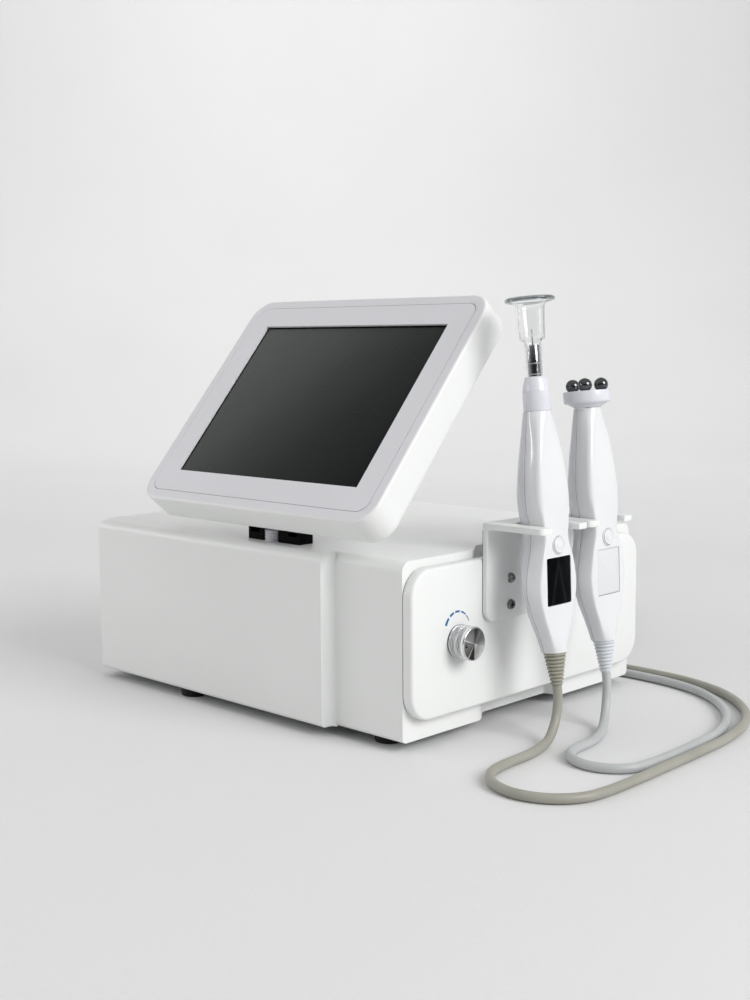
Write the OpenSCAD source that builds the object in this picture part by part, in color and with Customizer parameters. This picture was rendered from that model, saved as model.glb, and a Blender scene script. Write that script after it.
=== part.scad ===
// Table-top facial toning machine: a moulded housing with a tilting touch screen, a level knob,
// and two corded handpieces that hang in fork holders on its right-hand side.
// Housing frame: X = 0 is the right side wall, Y = 0 the front of the side section, Z = 0 the
// housing's underside. module stand() moves it to the middle of the machine, on its feet.

/* [Housing] */
// Width of the housing, left to right
housing_w = 370; // [340:5:420]
// Depth of the housing, front to back
housing_d = 292; // [276:2:330]
// Height of the housing without its feet
housing_h = 136; // [128:1:150]
// Wall of the moulded shells
wall = 3; // [2.4:0.2:4]
// Radius of the long edges along the top
top_edge_r = 8; // [5:1:10]
// Radius of the long edges along the underside
bottom_edge_r = 4; // [2:1:5]
// How far the front nose stands out
nose_out = 11.6; // [8:0.2:16]
// Gap from the housing's left side to the nose
nose_left_gap = 5.4; // [3:0.2:12]
// Width of the side section beside the nose
side_section_w = 74; // [66:1:84]
// Radius of the inside corner beside the nose
nose_fillet_r = 4.5; // [2:0.5:6]

/* [Side recess] */
// Depth of the upright recess in the right side
recess_depth = 14; // [8:1:18]
// Distance of the recess from the front, at half height
recess_front = 82; // [76:1:90]
// Length of the recess, front to back
recess_len = 106; // [90:1:112]
// Lean of the recess ends
recess_lean = 3.8; // [0:0.2:5]
// Length of the swept front end of the recess
recess_sweep = 26; // [16:1:32]

/* [Side panel] */
// How far the side panel stands out
panel_t = 9.6; // [7:0.2:13]
// Height of the side panel
panel_h = 114; // [104:1:118]
// Height of its lower edge above the housing's underside
panel_z = 16; // [10:1:20]
// Radius of the panel's corners
panel_corner_r = 21; // [12:1:30]

/* [Level knob] */
// Diameter of the knob
knob_d = 26; // [20:0.5:32]
// Height of the knob
knob_len = 15.5; // [12:0.5:20]
// Distance of the knob's centre from the front
knob_y = 51.5; // [40:0.5:58]
// Height of the knob's centre
knob_z = 71; // [56:1:90]
// Diameter of the knob's shaft
shaft_d = 6; // [5:0.5:8]
// Grip flutes around the knob
knob_flutes = 30; // [16:1:40]

/* [Holders] */
// Width of one fork holder
holder_w = 58; // [54:0.5:64]
// Gap between the two holders
holder_gap = 2.5; // [1:0.5:6]
// Distance of the first holder from the front
holder_y = 79.5; // [78:0.5:86]
// Thickness of the upright plate
holder_plate_t = 4.5; // [3:0.5:6]
// Thickness of the shelf
shelf_t = 5; // [4:0.5:7]
// Height of the shelf's top face
shelf_z = 158; // [150:1:166]
// Height of the upright plate's lower edge
holder_low_z = 81; // [70:1:92]
// Reach of the shelf from the side panel
shelf_reach = 57; // [52:0.5:64]
// Width of the fork's slot
slot_w = 33.4; // [33.2:0.2:36]
// Distance of the slot's inner end from the hanging handpiece's axis
slot_in = 20; // [19.5:0.5:22]
// Radius of the slot's inner corners
slot_corner_r = 9; // [5:0.5:12]
// Distance of the hanging handpiece from the side panel
seat_reach = 38; // [35:0.5:41]

/* [Handpieces] */
// Lean of the hanging handpieces
lean = 5.7; // [3:0.1:7]
// How much further out the rear handpiece hangs
rear_hang_out = 3; // [0:0.5:4]
// Wall of the handpiece shells
grip_wall = 2; // [1.6:0.1:2.4]
// Parting gap between front and rear shell
parting_gap = 0.3; // [0.2:0.05:0.5]
// Diameter of the push button
button_d = 12.6; // [10:0.2:14]
// Travel of the push button
button_travel = 0.8; // [0.5:0.1:1.2]
// Width of the window in the front shell
window_w = 29.4; // [24:0.2:32]
// Height of the window in the front shell
window_h = 35.8; // [30:0.2:40]
// Thickness of the display glass and of the blank plate
window_t = 1.6; // [1.2:0.1:2]
// Diameter of the handpiece cables
cable_d = 7.2; // [6:0.1:8]

/* [Vacuum tip] */
// Diameter of the collar's straight part
collar_d = 20.8; // [19:0.1:22]
// Diameter of the steel nozzle
nozzle_d = 9.4; // [8:0.1:10]
// Diameter of the cup's body
cup_d = 21.6; // [19:0.2:25]
// Diameter of the cup's rim ring
cup_rim_d = 38; // [32:0.5:42]
// Wall of the glass cup
cup_wall = 1.1; // [0.8:0.1:1.4]

/* [Ball head] */
// Diameter of the turning disc
head_d = 37; // [34:0.5:42]
// Height of the disc's side
head_h = 10; // [8:0.5:12]
// Diameter of a ball electrode
ball_d = 11; // [9:0.2:12]
// Radius of the ring that the balls stand on
ball_ring_r = 12.8; // [11:0.2:13]
// Number of ball electrodes
ball_count = 3; // [3:1:4]
// Diameter of the head's drive shaft
head_shaft_d = 4; // [3:0.5:5]

/* [Screen] */
// Width of the screen casing
screen_w = 274; // [262:1:290]
// Height of the screen casing
screen_h = 219; // [206:1:232]
// Thickness of the screen casing
screen_t = 30.5; // [27:0.5:36]
// Radius of the casing's corners
screen_corner_r = 20; // [14:1:26]
// Depth of the front half of the casing
front_half_t = 22; // [18:0.5:23]
// Wall of the screen casing
screen_wall = 2.5; // [2:0.1:3]
// Margin of casing around the front overlay
overlay_margin = 9.5; // [7:0.5:12]
// Thickness of the front overlay
overlay_t = 1.2; // [0.8:0.1:2]
// Width of the visible display
display_w = 213.6; // [200:0.2:222]
// Height of the visible display
display_h = 158.6; // [146:0.2:168]
// Tilt of the screen from flat
screen_tilt = 49.5; // [40:0.5:58]
// Distance of the screen's hinge from the front
hinge_y = 20; // [16:0.5:26]
// Height of the screen's hinge above the housing's top
hinge_lift = 14; // [12:0.5:16]
// Distance of the hinge behind the casing's back
hinge_back = 14; // [12:0.5:16]
// Distance of the hinge up from the casing's lower edge, along its back
hinge_up = 17.8; // [14:0.2:24]
// Distance of the screen's middle from the right side wall
screen_x = 147; // [140:1:190]
// Width of the hinge block
mount_w = 61; // [52:1:70]
// Diameter of the hinge pin
pin_d = 6; // [5:0.5:8]

/* [Feet] */
// Height of the feet below the housing
foot_h = 8; // [6:0.5:12]
// Diameter of a foot
foot_d = 22; // [18:1:26]

/* [Rear] */
// Thickness of the rear panel
rear_t = 2; // [1.5:0.1:2.5]
// Side of the fan
fan_w = 60; // [50:1:70]
// Diameter of the mains lead
lead_d = 7; // [6:0.1:8]

/* [Hidden] */

$fn = 64;
eps = 0.02;
fit = 0.1;          // radial clearance of a part that slides or turns on another
seat = 0.3;         // clearance of neighbours that move past each other
loose = 0.4;        // clearance round a plate that is dropped into its recess

// Screws: M4 in the holders and feet, M3 elsewhere
m4_d = 4;
m4_head_d = 8;
m4_head_h = 2.8;
m3_d = 3;
m3_head_d = 5.6;
m3_head_h = 2;
clear_hole = 0.4;   // added to a screw's diameter for its clearance hole
tapped_hole = 0.1;  // added to a screw's diameter for its tapped hole

// Housing
nose_x0 = -housing_w + nose_left_gap;
nose_x1 = -side_section_w;
cavity_x1 = -recess_depth - wall;
recess_rear = recess_front + recess_len;
wing_front_end = recess_front - housing_h / 2 * sin(recess_lean) - wall - 2;
wing_rear_start = recess_rear + housing_h / 2 * sin(recess_lean) + wall + 2;
base_t = 1.6;
base_z = 1;
base_top = base_z + base_t;
lug_w = 14;
lug_h = 8;
lug_inset = 12;
vent_len = 40;
vent_w = 3;
vent_pitch = 8;
vent_rows = 8;

// The machine's own frame: middle of its box, on the surface it stands on
switch_proud = 4;
reach_right = panel_t + seat_reach + rear_hang_out + 18;
frame_x = (housing_w - reach_right) / 2;
screen_low_front = hinge_y - hinge_up * cos(screen_tilt) - (hinge_back + screen_t) * sin(screen_tilt);
frame_y = -(housing_d + switch_proud + screen_low_front) / 2;

// Rear panel and what stands in it
rear_margin = 25;
rear_x0 = -housing_w + rear_margin;
rear_x1 = -rear_margin;
rear_z0 = 12;
rear_z1 = housing_h - 20;
rear_lip = 6;
inlet_x = rear_x0 + 29;
inlet_w = 27.6;
inlet_h = 20;
inlet_deep = 22;
low_z = 30;
switch_x = rear_x0 + 73;
switch_w = 19;
switch_h = 13;
switch_deep = 16;
switch_angle = 8;
rocker_depth = 2;
rocker_pin_d = 2.4;
fan_x = rear_x0 + 129;
fan_z = 72;
fan_t = 20;
fan_hub_d = 26;
fan_tip_d = fan_w - 6;
fan_blades = 7;
fan_hole_pitch = fan_w * 0.8;
grille_ring = 7;
socket_x = [rear_x1 - 64, rear_x1 - 164];
socket_d = 16;
socket_flange_d = 20;
socket_flange_t = 2;
socket_deep = 18;
plug_len = 24;
plug_d = 15;

// Level knob and valve
knob_gap = 0.5;
knob_dimple_d = 2.4;
knob_dimple_r = 8.7;
valve_w = 26;
valve_len = 30;
bush_d = 10;

// Holders
holder_mid = [for (i = [0, 1]) holder_y + holder_w / 2 + i * (holder_w + holder_gap)];
holder_screw_z = [91.5, 112.5];
prong_tip_r = 4;
holder_corner_r = 9;

// Handpiece, from the boot up: height on its axis, half width at the parting, depth behind the
// parting, distance and half width of the flat front face, crown of that face
grip = [
    [-95, 8.9, 6.4, 6.6, 6.7, 2.8], [-80, 13.9, 8.9, 7.1, 12.6, 1.2], [-62, 21.6, 11.4, 7.7, 19.2, 0.5],
    [-44, 25.3, 12.5, 8.8, 22.2, 0.4], [-26, 21.2, 14.6, 9.9, 19.6, 0.4],
    [-10, 15.7, 14.7, 10.2, 14.5, 0.8], [3, 16.3, 15.6, 10.9, 15.2, 1], [22, 19.1, 16.2, 11.4, 18.1, 1],
    [44, 17.1, 13.9, 11, 16.5, 1], [66, 13.4, 10.9, 10, 12.7, 1.4], [88, 9.85, 7.3, 7.3, 7.3, 3]];
grip_low = grip[0][0];
grip_top = grip[len(grip) - 1][0];
rear_sides = 13;
rear_power = 2.2;
seat_x = panel_t + seat_reach;
seat_z = shelf_z - 3;
parting_x = -3;
button_z = -13.2;
button_face = 12.3;
window_z = -40.5;
window_lean = 3;
window_face = 9.3;
circuit_w = 17;
circuit_len = 52;
circuit_t = 1.4;
circuit_x = 3.1;
circuit_z = -36;
switch_cap_w = 6;
switch_cap_h = 2.4;
button_foot = circuit_x + circuit_t + switch_cap_h + button_travel;
relief_len = 25.5;
relief_top_d = 17.8;
relief_end_d = 9;
relief_rings = 9;
spigot_d = 11;
spigot_h = 4;
tube_d = 5;

// Vacuum tip, heights on the handpiece's axis
collar_z = grip_top;
collar_side_h = 15;
collar_top_d = 15;
collar_h = 26;
nozzle_top = 137.5;
needle_d = 1.4;
needle_top = 152;
cup_low = collar_z + collar_h + seat;
neck_top_d = 13.6;
cup_shoulder = 144;
cup_top = 173.5;
rim_d = 3.6;

// Ball head
head_low = grip_top + seat;
head_cone_h = 3.2;
head_low_d = 20.6;
ball_lift = 4.2;
ball_turn = 61;
stud_d = 4;
motor_d = 17;
motor_len = 34;
motor_z = 24;

// Screen, in its own frame: X right, Y up its face, Z out of the glass
back_z = 0;
front_z = screen_t;
overlay_w = screen_w - 2 * overlay_margin;
overlay_h = screen_h - 2 * overlay_margin;
overlay_corner_r = screen_corner_r - overlay_margin;
glass_t = 5;
glass_margin = 7;
bezel_t = 1.4;
overlay_pocket = overlay_t;
arm_w = 9.4;
arm_gap = seat;
arm_r = 7;
arm_pitch = 45;
arm_plate_t = 3;
arm_plate_h = 50;
mount_front = 6.5;
mount_d = 14.5;
mount_floor = 6;
sleeve_d = 17;
sleeve_x = -screen_x - 3.3;
sleeve_y = 11.5;
sleeve_h = 7;

// Cable routes, on the surface that the machine stands on, in its own frame
vacuum_route = [[212.4, -30.6, 18.4], [215.3, -41, 7.6], [219.3, -55.1, 3.9], [225, -80, 3.9],
    [227, -112, 3.9], [232.8, -133.5, 3.9], [248.5, -149.2, 3.9], [270, -155, 3.9],
    [291.5, -149.2, 3.9], [307.2, -133.5, 3.9], [313, -112, 3.9], [314, -70, 3.9], [313, -30, 3.9],
    [312, 10, 3.9], [310, 50, 3.9], [302, 90, 3.9], [286, 125, 3.9], [262, 153, 3.9],
    [232, 174, 3.9], [196, 186, 3.9], [160, 189.4, 3.9], [120, 189.4, 3.9], [80, 189.4, 3.9],
    [48, 189.4, 3.9], [22, 189.4, 3.9]];
ball_route = [[216.1, 30.3, 18.4], [221.1, 20.7, 7.6], [227.9, 7.6, 3.9], [236, -10, 3.9],
    [240, -26, 3.9], [241, -42, 3.9], [245, -57, 3.9], [256, -68, 3.9], [271, -72, 3.9],
    [286, -68, 3.9], [297, -57, 3.9], [301, -42, 3.9], [302, -15, 3.9], [301, 20, 3.9],
    [298, 55, 3.9], [288, 90, 3.9], [270, 120, 3.9], [246, 145, 3.9], [216, 163, 3.9],
    [180, 172, 3.9], [140, 174, 3.9], [100, 174, 3.9], [60, 174, 3.9], [20, 174, 3.9],
    [-20, 177, 3.9], [-50, 186, 3.9], [-78, 189.4, 3.9]];
mains_route = [[-165, 226, 36], [-163.5, 244, 28], [-158, 263, 13], [-147, 280, 4.6],
    [-132, 294, 3.9], [-112, 302.5, 3.9], [-93, 304.9, 3.9], [-75, 305, 3.9]];
mains_tail = [[-75, 305, 17.8], [-57, 305, 17], [-38, 305, 13], [-20, 305, 12]];
coil_r = 40;
coil_mid = [[22, 233], [-78, 233]];
mains_coil_mid = [-75, 358.6];
mains_coil_r = 50;
mains_coil_layers = 3;
ring_sides = 10;
rise_steps = 5;
lead_plug_len = 36;
lead_plug_w = 28;
lead_plug_h = 24;
lead_pin_d = 4.8;
lead_pin_len = 19;
lead_pin_gap = 19;
inlet_plug_len = 38;
inlet_relief_len = 22;

// ---- general shapes ----

// Moves the housing frame to the machine's own frame
module stand() {
    translate([frame_x, frame_y, foot_h]) children();
}

// Draws a (Y, Z) outline along X
module along_x(x0, x1) {
    translate([x0, 0, 0]) rotate([90, 0, 90]) linear_extrude(x1 - x0) children();
}

// The corner that a round of radius r takes off, at the origin, pointing to +X +Y
module corner_waste(r) {
    difference() {
        translate([-r, -r]) square(r + 1);
        translate([-r, -r]) circle(r);
    }
}

// Rectangle from its lower left corner, with a radius for each corner, anticlockwise from there
module corner_rect(w, h, r) {
    difference() {
        square([w, h]);
        if (r[0] > 0) mirror([1, 0]) mirror([0, 1]) corner_waste(r[0]);
        if (r[1] > 0) translate([w, 0]) mirror([0, 1]) corner_waste(r[1]);
        if (r[2] > 0) translate([w, h]) corner_waste(r[2]);
        if (r[3] > 0) translate([0, h]) mirror([1, 0]) corner_waste(r[3]);
    }
}

module middle_rect(w, h, r) {
    translate([-w / 2, -h / 2]) corner_rect(w, h, [r, r, r, r]);
}

// Section of a slab's rim: r wide, t high, rounded by lower and upper
module rim_section(r, t, lower, upper) {
    corner_rect(r, t, [0, lower, upper, 0]);
}

// Slab with rounded corners and rounded lower and upper edges
module soft_slab(w, h, t, r, lower, upper) {
    for (sx = [-1, 1], sy = [-1, 1])
        translate([sx * (w / 2 - r), sy * (h / 2 - r), 0])
            rotate_extrude() rim_section(r, t, lower, upper);
    for (side = [0, 1])
        mirror([side, 0, 0]) translate([w / 2 - r, h / 2 - r, 0])
            rotate([90, 0, 0]) linear_extrude(h - 2 * r) rim_section(r, t, lower, upper);
    for (side = [0, 1])
        mirror([0, side, 0]) translate([-w / 2 + r, h / 2 - r, 0])
            rotate([90, 0, 90]) linear_extrude(w - 2 * r) rim_section(r, t, lower, upper);
    translate([-w / 2 + r, -h / 2 + r, 0]) cube([w - 2 * r, h - 2 * r, t]);
}

// Pan-head screw, head upwards, its seat at z = 0
module pan_screw(d, len, head_d, head_h) {
    translate([0, 0, -len]) cylinder(d = d, h = len + eps);
    rotate_extrude() corner_rect(head_d / 2, head_h, [0, 0, head_h * 0.8, 0]);
}

// Catmull-Rom point between p1 and p2
function between(p0, p1, p2, p3, t) =
    0.5 * (2 * p1 + (p2 - p0) * t + (2 * p0 - 5 * p1 + 4 * p2 - p3) * t * t
        + (3 * p1 - p0 - 3 * p2 + p3) * t * t * t);

// Smooth list through the rows, with steps parts in each interval
function smooth(rows, steps) = let (n = len(rows) - 1) concat(
    [for (i = [0:n - 1], k = [0:steps - 1])
        between(rows[max(i - 1, 0)], rows[i], rows[i + 1], rows[min(i + 2, n)], k / steps)],
    [rows[n]]);

// Closed body through rings of equal length, the first ring lowest
module skin(rings) {
    n = len(rings[0]);
    m = len(rings);
    polyhedron(
        points = [for (ring = rings, p = ring) p],
        faces = concat(
            [[for (i = [0:n - 1]) i]],
            [for (j = [0:m - 2], i = [0:n - 1])
                let (a = j * n + i, b = j * n + (i + 1) % n) [a, a + n, b]],
            [for (j = [0:m - 2], i = [0:n - 1])
                let (a = j * n + i, b = j * n + (i + 1) % n) [b, a + n, b + n]],
            [[for (i = [0:n - 1]) m * n - 1 - i]]));
}

function unit(v) = v / norm(v);
function heading(path, i) = unit(path[min(i + 1, len(path) - 1)] - path[max(i - 1, 0)]);
// Direction across a path, carried along from the direction before it
function carried(across, along) = unit(across - along * (across * along));

// Round cord along a path
module cord(path, d, first_across) {
    n = len(path);
    across = [for (i = 0, u = carried(first_across, heading(path, 0)); i < n;
        i = i + 1, u = carried(u, heading(path, min(i, n - 1)))) u];
    skin([for (i = [0:n - 1])
        [for (k = [0:ring_sides - 1])
            let (a = 360 * k / ring_sides)
                path[i] + d / 2 * (cos(a) * across[i] + sin(a) * cross(heading(path, i), across[i]))]]);
}

// ---- housing ----

module housing_outline(front, top_r, low_r) {
    translate([front, 0])
        corner_rect(housing_d - front, housing_h, [low_r, low_r, top_r, top_r]);
}

module housing_inside(front) {
    inner_r = top_edge_r - wall;
    translate([front + wall, -1])
        corner_rect(housing_d - front - 2 * wall, housing_h - wall + 1, [0, 0, inner_r, inner_r]);
}

// Plan of the recess: a long swept front end and a short rear end
module recess_plan() {
    steps = 10;
    short_sweep = 4;
    polygon(concat(
        [[2, -1]],
        [for (i = [0:steps]) [-recess_depth * (1 - cos(180 * i / steps)) / 2, recess_sweep * i / steps]],
        [for (i = [steps:-1:0]) [-recess_depth * (1 - cos(180 * i / steps)) / 2,
            recess_len - short_sweep * i / steps]],
        [[2, recess_len + 1]]));
}

module recess_cut() {
    translate([0, recess_front, housing_h / 2]) rotate([recess_lean, 0, 0])
        linear_extrude(housing_h * 1.3, center = true) recess_plan();
}

// Screw lugs on the walls that carry the base plate
lug_places = [[-housing_w + lug_inset, lug_inset], [-housing_w + lug_inset, housing_d - lug_inset],
    [cavity_x1 - lug_inset, housing_d - lug_inset], [-housing_w / 2, housing_d - lug_inset],
    [nose_x1 - lug_inset, lug_inset - nose_out]];

module lug(p) {
    edge_x = p[0] < -housing_w + 2 * lug_inset ? -housing_w + wall / 2 : p[0] - lug_w / 2;
    edge_y = p[1] < housing_d / 2 ? p[1] - lug_inset + wall / 2 : p[1] - lug_w / 2;
    far_x = p[0] > -2 * lug_inset - recess_depth ? cavity_x1 + eps : p[0] + lug_w / 2;
    far_y = p[1] < housing_d / 2 ? p[1] + lug_w / 2 : housing_d - wall / 2;
    translate([edge_x, edge_y, base_top]) cube([far_x - edge_x, far_y - edge_y, lug_h]);
}

rear_screws = [for (x = [rear_x0 + rear_lip / 2, (rear_x0 + rear_x1) / 2, rear_x1 - rear_lip / 2],
    z = [rear_z0 + rear_lip / 2, rear_z1 - rear_lip / 2]) [x, z]];

panel_fixings = [for (y = [16, wing_front_end - 8], z = [panel_z + 22, panel_z + panel_h - 22]) [y, z]];
panel_rear_fixings = [for (y = [wing_rear_start + 10, housing_d - 16],
    z = [panel_z + 22, panel_z + panel_h - 22]) [y, z]];

module housing_shell() {
    color("white") stand() difference() {
        union() {
            difference() {
                union() {
                    along_x(-housing_w, 0) housing_outline(0, top_edge_r, bottom_edge_r);
                    along_x(nose_x0, nose_x1) housing_outline(-nose_out, top_edge_r, bottom_edge_r);
                    intersection() {
                        translate([nose_x1, 0, 0]) linear_extrude(housing_h) difference() {
                            translate([-1, -nose_fillet_r]) square([nose_fillet_r + 1, nose_fillet_r + 1]);
                            translate([nose_fillet_r, -nose_fillet_r]) circle(nose_fillet_r);
                        }
                        along_x(nose_x1 - 1, 0) housing_outline(-nose_out, top_edge_r, bottom_edge_r);
                    }
                }
                along_x(-housing_w + wall, cavity_x1) housing_inside(0);
                along_x(nose_x0 + wall, nose_x1 - wall) housing_inside(-nose_out);
                translate([cavity_x1 - 1, wall, -1])
                    cube([recess_depth + 1, wing_front_end - wall, housing_h - wall + 1]);
                translate([cavity_x1 - 1, wing_rear_start, -1])
                    cube([recess_depth + 1, housing_d - wall - wing_rear_start, housing_h - wall + 1]);
                recess_cut();
            }
            for (p = lug_places) lug(p);
        }
        // screw holes in the lugs
        for (p = lug_places) translate([p[0], p[1], 0]) cylinder(d = m3_d + tapped_hole, h = lug_h * 2);
        // opening for the rear panel, with a rebate that it drops into
        translate([rear_x0 + rear_lip, housing_d - wall - 1, rear_z0 + rear_lip])
            cube([rear_x1 - rear_x0 - 2 * rear_lip, wall + 2, rear_z1 - rear_z0 - 2 * rear_lip]);
        translate([rear_x0 - loose, housing_d - rear_t, rear_z0 - loose])
            cube([rear_x1 - rear_x0 + 2 * loose, rear_t + 1, rear_z1 - rear_z0 + 2 * loose]);
        for (p = rear_screws) translate([p[0], housing_d, p[1]])
            rotate([90, 0, 0]) cylinder(d = m3_d + tapped_hole, h = 2 * wall);
        // valve bush, screws of the side panel, screen cable
        translate([-wall - 1, knob_y, knob_z]) rotate([0, 90, 0])
            cylinder(d = bush_d + 2 * fit, h = wall + 2);
        for (p = concat(panel_fixings, panel_rear_fixings)) translate([-wall - 1, p[0], p[1]])
            rotate([0, 90, 0]) cylinder(d = m3_d + clear_hole, h = wall + 2);
        translate([sleeve_x, sleeve_y, housing_h - wall - 1]) cylinder(d = sleeve_d - 6, h = wall + 2);
    }
}

foot_places = [[-252, 5], [-33.5, 20.5], [-housing_w + 34, housing_d - 30], [-33.5, housing_d - 30]];

module base_plan() {
    gap = wall + loose;
    translate([-housing_w + gap, gap])
        square([housing_w + cavity_x1 - 2 * loose - wall, housing_d - 2 * gap]);
    translate([nose_x0 + gap, -nose_out + gap]) square([nose_x1 - nose_x0 - 2 * gap, nose_out + 1]);
    translate([cavity_x1 - wall, gap]) square([-cavity_x1 - loose, wing_front_end - wall - 2 * loose]);
    translate([cavity_x1 - wall, wing_rear_start + loose])
        square([-cavity_x1 - loose, housing_d - gap - wing_rear_start - loose]);
}

module base_plate() {
    color("silver") stand() translate([0, 0, base_z]) linear_extrude(base_t) difference() {
        base_plan();
        for (p = lug_places) translate(p) circle(d = m3_d + clear_hole);
        for (p = foot_places) translate(p) circle(d = m4_d + clear_hole);
        for (x = [-housing_w * 0.72, -housing_w * 0.36], i = [0:vent_rows - 1])
            translate([x - vent_len / 2, housing_d * 0.42 + i * vent_pitch])
                corner_rect(vent_len, vent_w, [1.4, 1.4, 1.4, 1.4]);
    }
}

module base_screws() {
    color("dimgray") stand() {
        for (p = lug_places) translate([p[0], p[1], base_z]) mirror([0, 0, 1])
            pan_screw(m3_d, lug_h - 1, m3_head_d, base_z - eps);
        for (p = foot_places) translate([p[0], p[1], -foot_h + 4]) mirror([0, 0, 1])
            pan_screw(m4_d, foot_h + base_top - 4 + 2, m4_head_d, m4_head_h);
    }
}

module rubber_feet() {
    color("black") stand() for (p = foot_places) translate([p[0], p[1], 0]) rotate_extrude()
        difference() {
            union() {
                translate([0, -foot_h]) corner_rect(foot_d / 2, foot_h, [0, 1.5, 0, 0]);
                square([foot_d / 2 - 1, base_z]);
            }
            translate([-1, -foot_h - 1]) square([m4_head_d / 2 + 1 + 0.3, 5]);
            translate([-1, -foot_h]) square([m4_d / 2 + 1 + 0.1, foot_h + 2]);
        }
}

module rear_panel() {
    color("gainsboro") stand() difference() {
        translate([rear_x0, housing_d - rear_t, rear_z0])
            cube([rear_x1 - rear_x0, rear_t, rear_z1 - rear_z0]);
        translate([0, housing_d + 1, 0]) rotate([90, 0, 0]) linear_extrude(rear_t + 2) {
            for (p = rear_screws) translate(p) circle(d = m3_d + clear_hole);
            translate([inlet_x, low_z]) middle_rect(inlet_w + loose, inlet_h + loose, 3);
            translate([switch_x, low_z]) middle_rect(switch_w + loose, switch_h + loose, 1);
            for (x = socket_x) translate([x, low_z]) circle(d = socket_d + 2 * fit);
            translate([fan_x, fan_z]) fan_grille();
        }
    }
}

// Guard slots: rings cut by four spokes, and the fan's four screw holes
module fan_grille() {
    for (sx = [-1, 1], sz = [-1, 1]) translate([sx, sz] * fan_hole_pitch / 2)
        circle(d = m3_d + clear_hole);
    difference() {
        for (r = [fan_hub_d / 2:grille_ring:fan_tip_d / 2 - 2]) difference() {
            circle(r + 4.6);
            circle(r);
        }
        for (a = [45, 135]) rotate(a) square([fan_w, 4], center = true);
    }
}

module panel_screws() {
    color("silver") stand() {
        for (p = rear_screws) translate([p[0], housing_d, p[1]])
            rotate([-90, 0, 0]) pan_screw(m3_d, rear_t + wall - 1.2, m3_head_d, m3_head_h);
        for (sx = [-1, 1], sz = [-1, 1])
            translate([fan_x + sx * fan_hole_pitch / 2, housing_d, fan_z + sz * fan_hole_pitch / 2])
                rotate([-90, 0, 0]) pan_screw(m3_d, rear_t + 8, m3_head_d, m3_head_h);
        for (p = concat(panel_fixings, panel_rear_fixings)) translate([-wall, p[0], p[1]])
            rotate([0, -90, 0]) pan_screw(m3_d, wall + panel_t - 3, m3_head_d, m3_head_h);
    }
}

// Raised panel over both wings of the right side
module side_panel() {
    pocket = panel_t - 4;
    color("white") stand() difference() {
        along_x(0, panel_t) translate([0, panel_z])
            corner_rect(housing_d, panel_h, [for (i = [0:3]) panel_corner_r]);
        // hollow back over the wings
        translate([-1, 6, panel_z + 32]) cube([pocket + 1, knob_y - bush_d - 10, panel_h - 64]);
        translate([-1, wing_rear_start, panel_z + 32])
            cube([pocket + 1, housing_d - 6 - wing_rear_start, panel_h - 64]);
        translate([-1, knob_y, knob_z]) rotate([0, 90, 0]) cylinder(d = bush_d + 2 * fit, h = panel_t + 2);
        for (p = concat(panel_fixings, panel_rear_fixings)) translate([-1, p[0], p[1]])
            rotate([0, 90, 0]) cylinder(d = m3_d + tapped_hole, h = panel_t - 1);
        for (y = holder_mid, z = holder_screw_z) translate([-1, y, z])
            rotate([0, 90, 0]) cylinder(d = m4_d + tapped_hole, h = panel_t + 2);
    }
}

// ---- holders ----

module holder(mid) {
    color("white") stand() difference() {
        union() {
            along_x(panel_t, panel_t + holder_plate_t) translate([mid - holder_w / 2, holder_low_z])
                corner_rect(holder_w, shelf_z - holder_low_z, [holder_corner_r, holder_corner_r, 0, 0]);
            translate([panel_t, mid - holder_w / 2, shelf_z - shelf_t]) linear_extrude(shelf_t)
                corner_rect(shelf_reach, holder_w, [0, prong_tip_r, prong_tip_r, 0]);
            // fillet under the shelf
            translate([panel_t + holder_plate_t, mid + holder_w / 2, shelf_z - shelf_t])
                rotate([90, 0, 0]) linear_extrude(holder_w) difference() {
                    translate([-0.5, -3]) square([3.5, 3.5]);
                    translate([3, -3]) circle(3);
                }
        }
        translate([seat_x - slot_in, mid - slot_w / 2, shelf_z - shelf_t - 1])
            linear_extrude(shelf_t + 2)
                corner_rect(shelf_reach, slot_w, [slot_corner_r, 0, 0, slot_corner_r]);
        for (z = holder_screw_z) translate([panel_t - 1, mid, z]) rotate([0, 90, 0])
            cylinder(d = m4_d + clear_hole, h = holder_plate_t + 2);
    }
}

module front_holder() { holder(holder_mid[0]); }
module rear_holder() { holder(holder_mid[1]); }

module holder_screws() {
    color("silver") stand() for (y = holder_mid, z = holder_screw_z)
        translate([panel_t + holder_plate_t, y, z]) rotate([0, 90, 0])
            pan_screw(m4_d, holder_plate_t + panel_t - 1, m4_head_d, m4_head_h);
}

// ---- level knob ----

module level_valve() {
    color("goldenrod") stand() translate([0, knob_y, knob_z]) rotate([0, 90, 0]) difference() {
        union() {
            translate([-valve_w / 2, -valve_w / 2, -wall - valve_len]) cube([valve_w, valve_w, valve_len]);
            translate([0, 0, -wall - 1]) cylinder(d = bush_d, h = wall + 1 + panel_t - 1);
            for (side = [-1, 1]) translate([0, side * valve_w * 0.3, -wall - valve_len - 9])
                cylinder(d = tube_d, h = 10);
        }
        translate([0, 0, -wall - valve_len * 0.7]) cylinder(d = shaft_d + 2 * fit, h = 60);
    }
}

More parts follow.
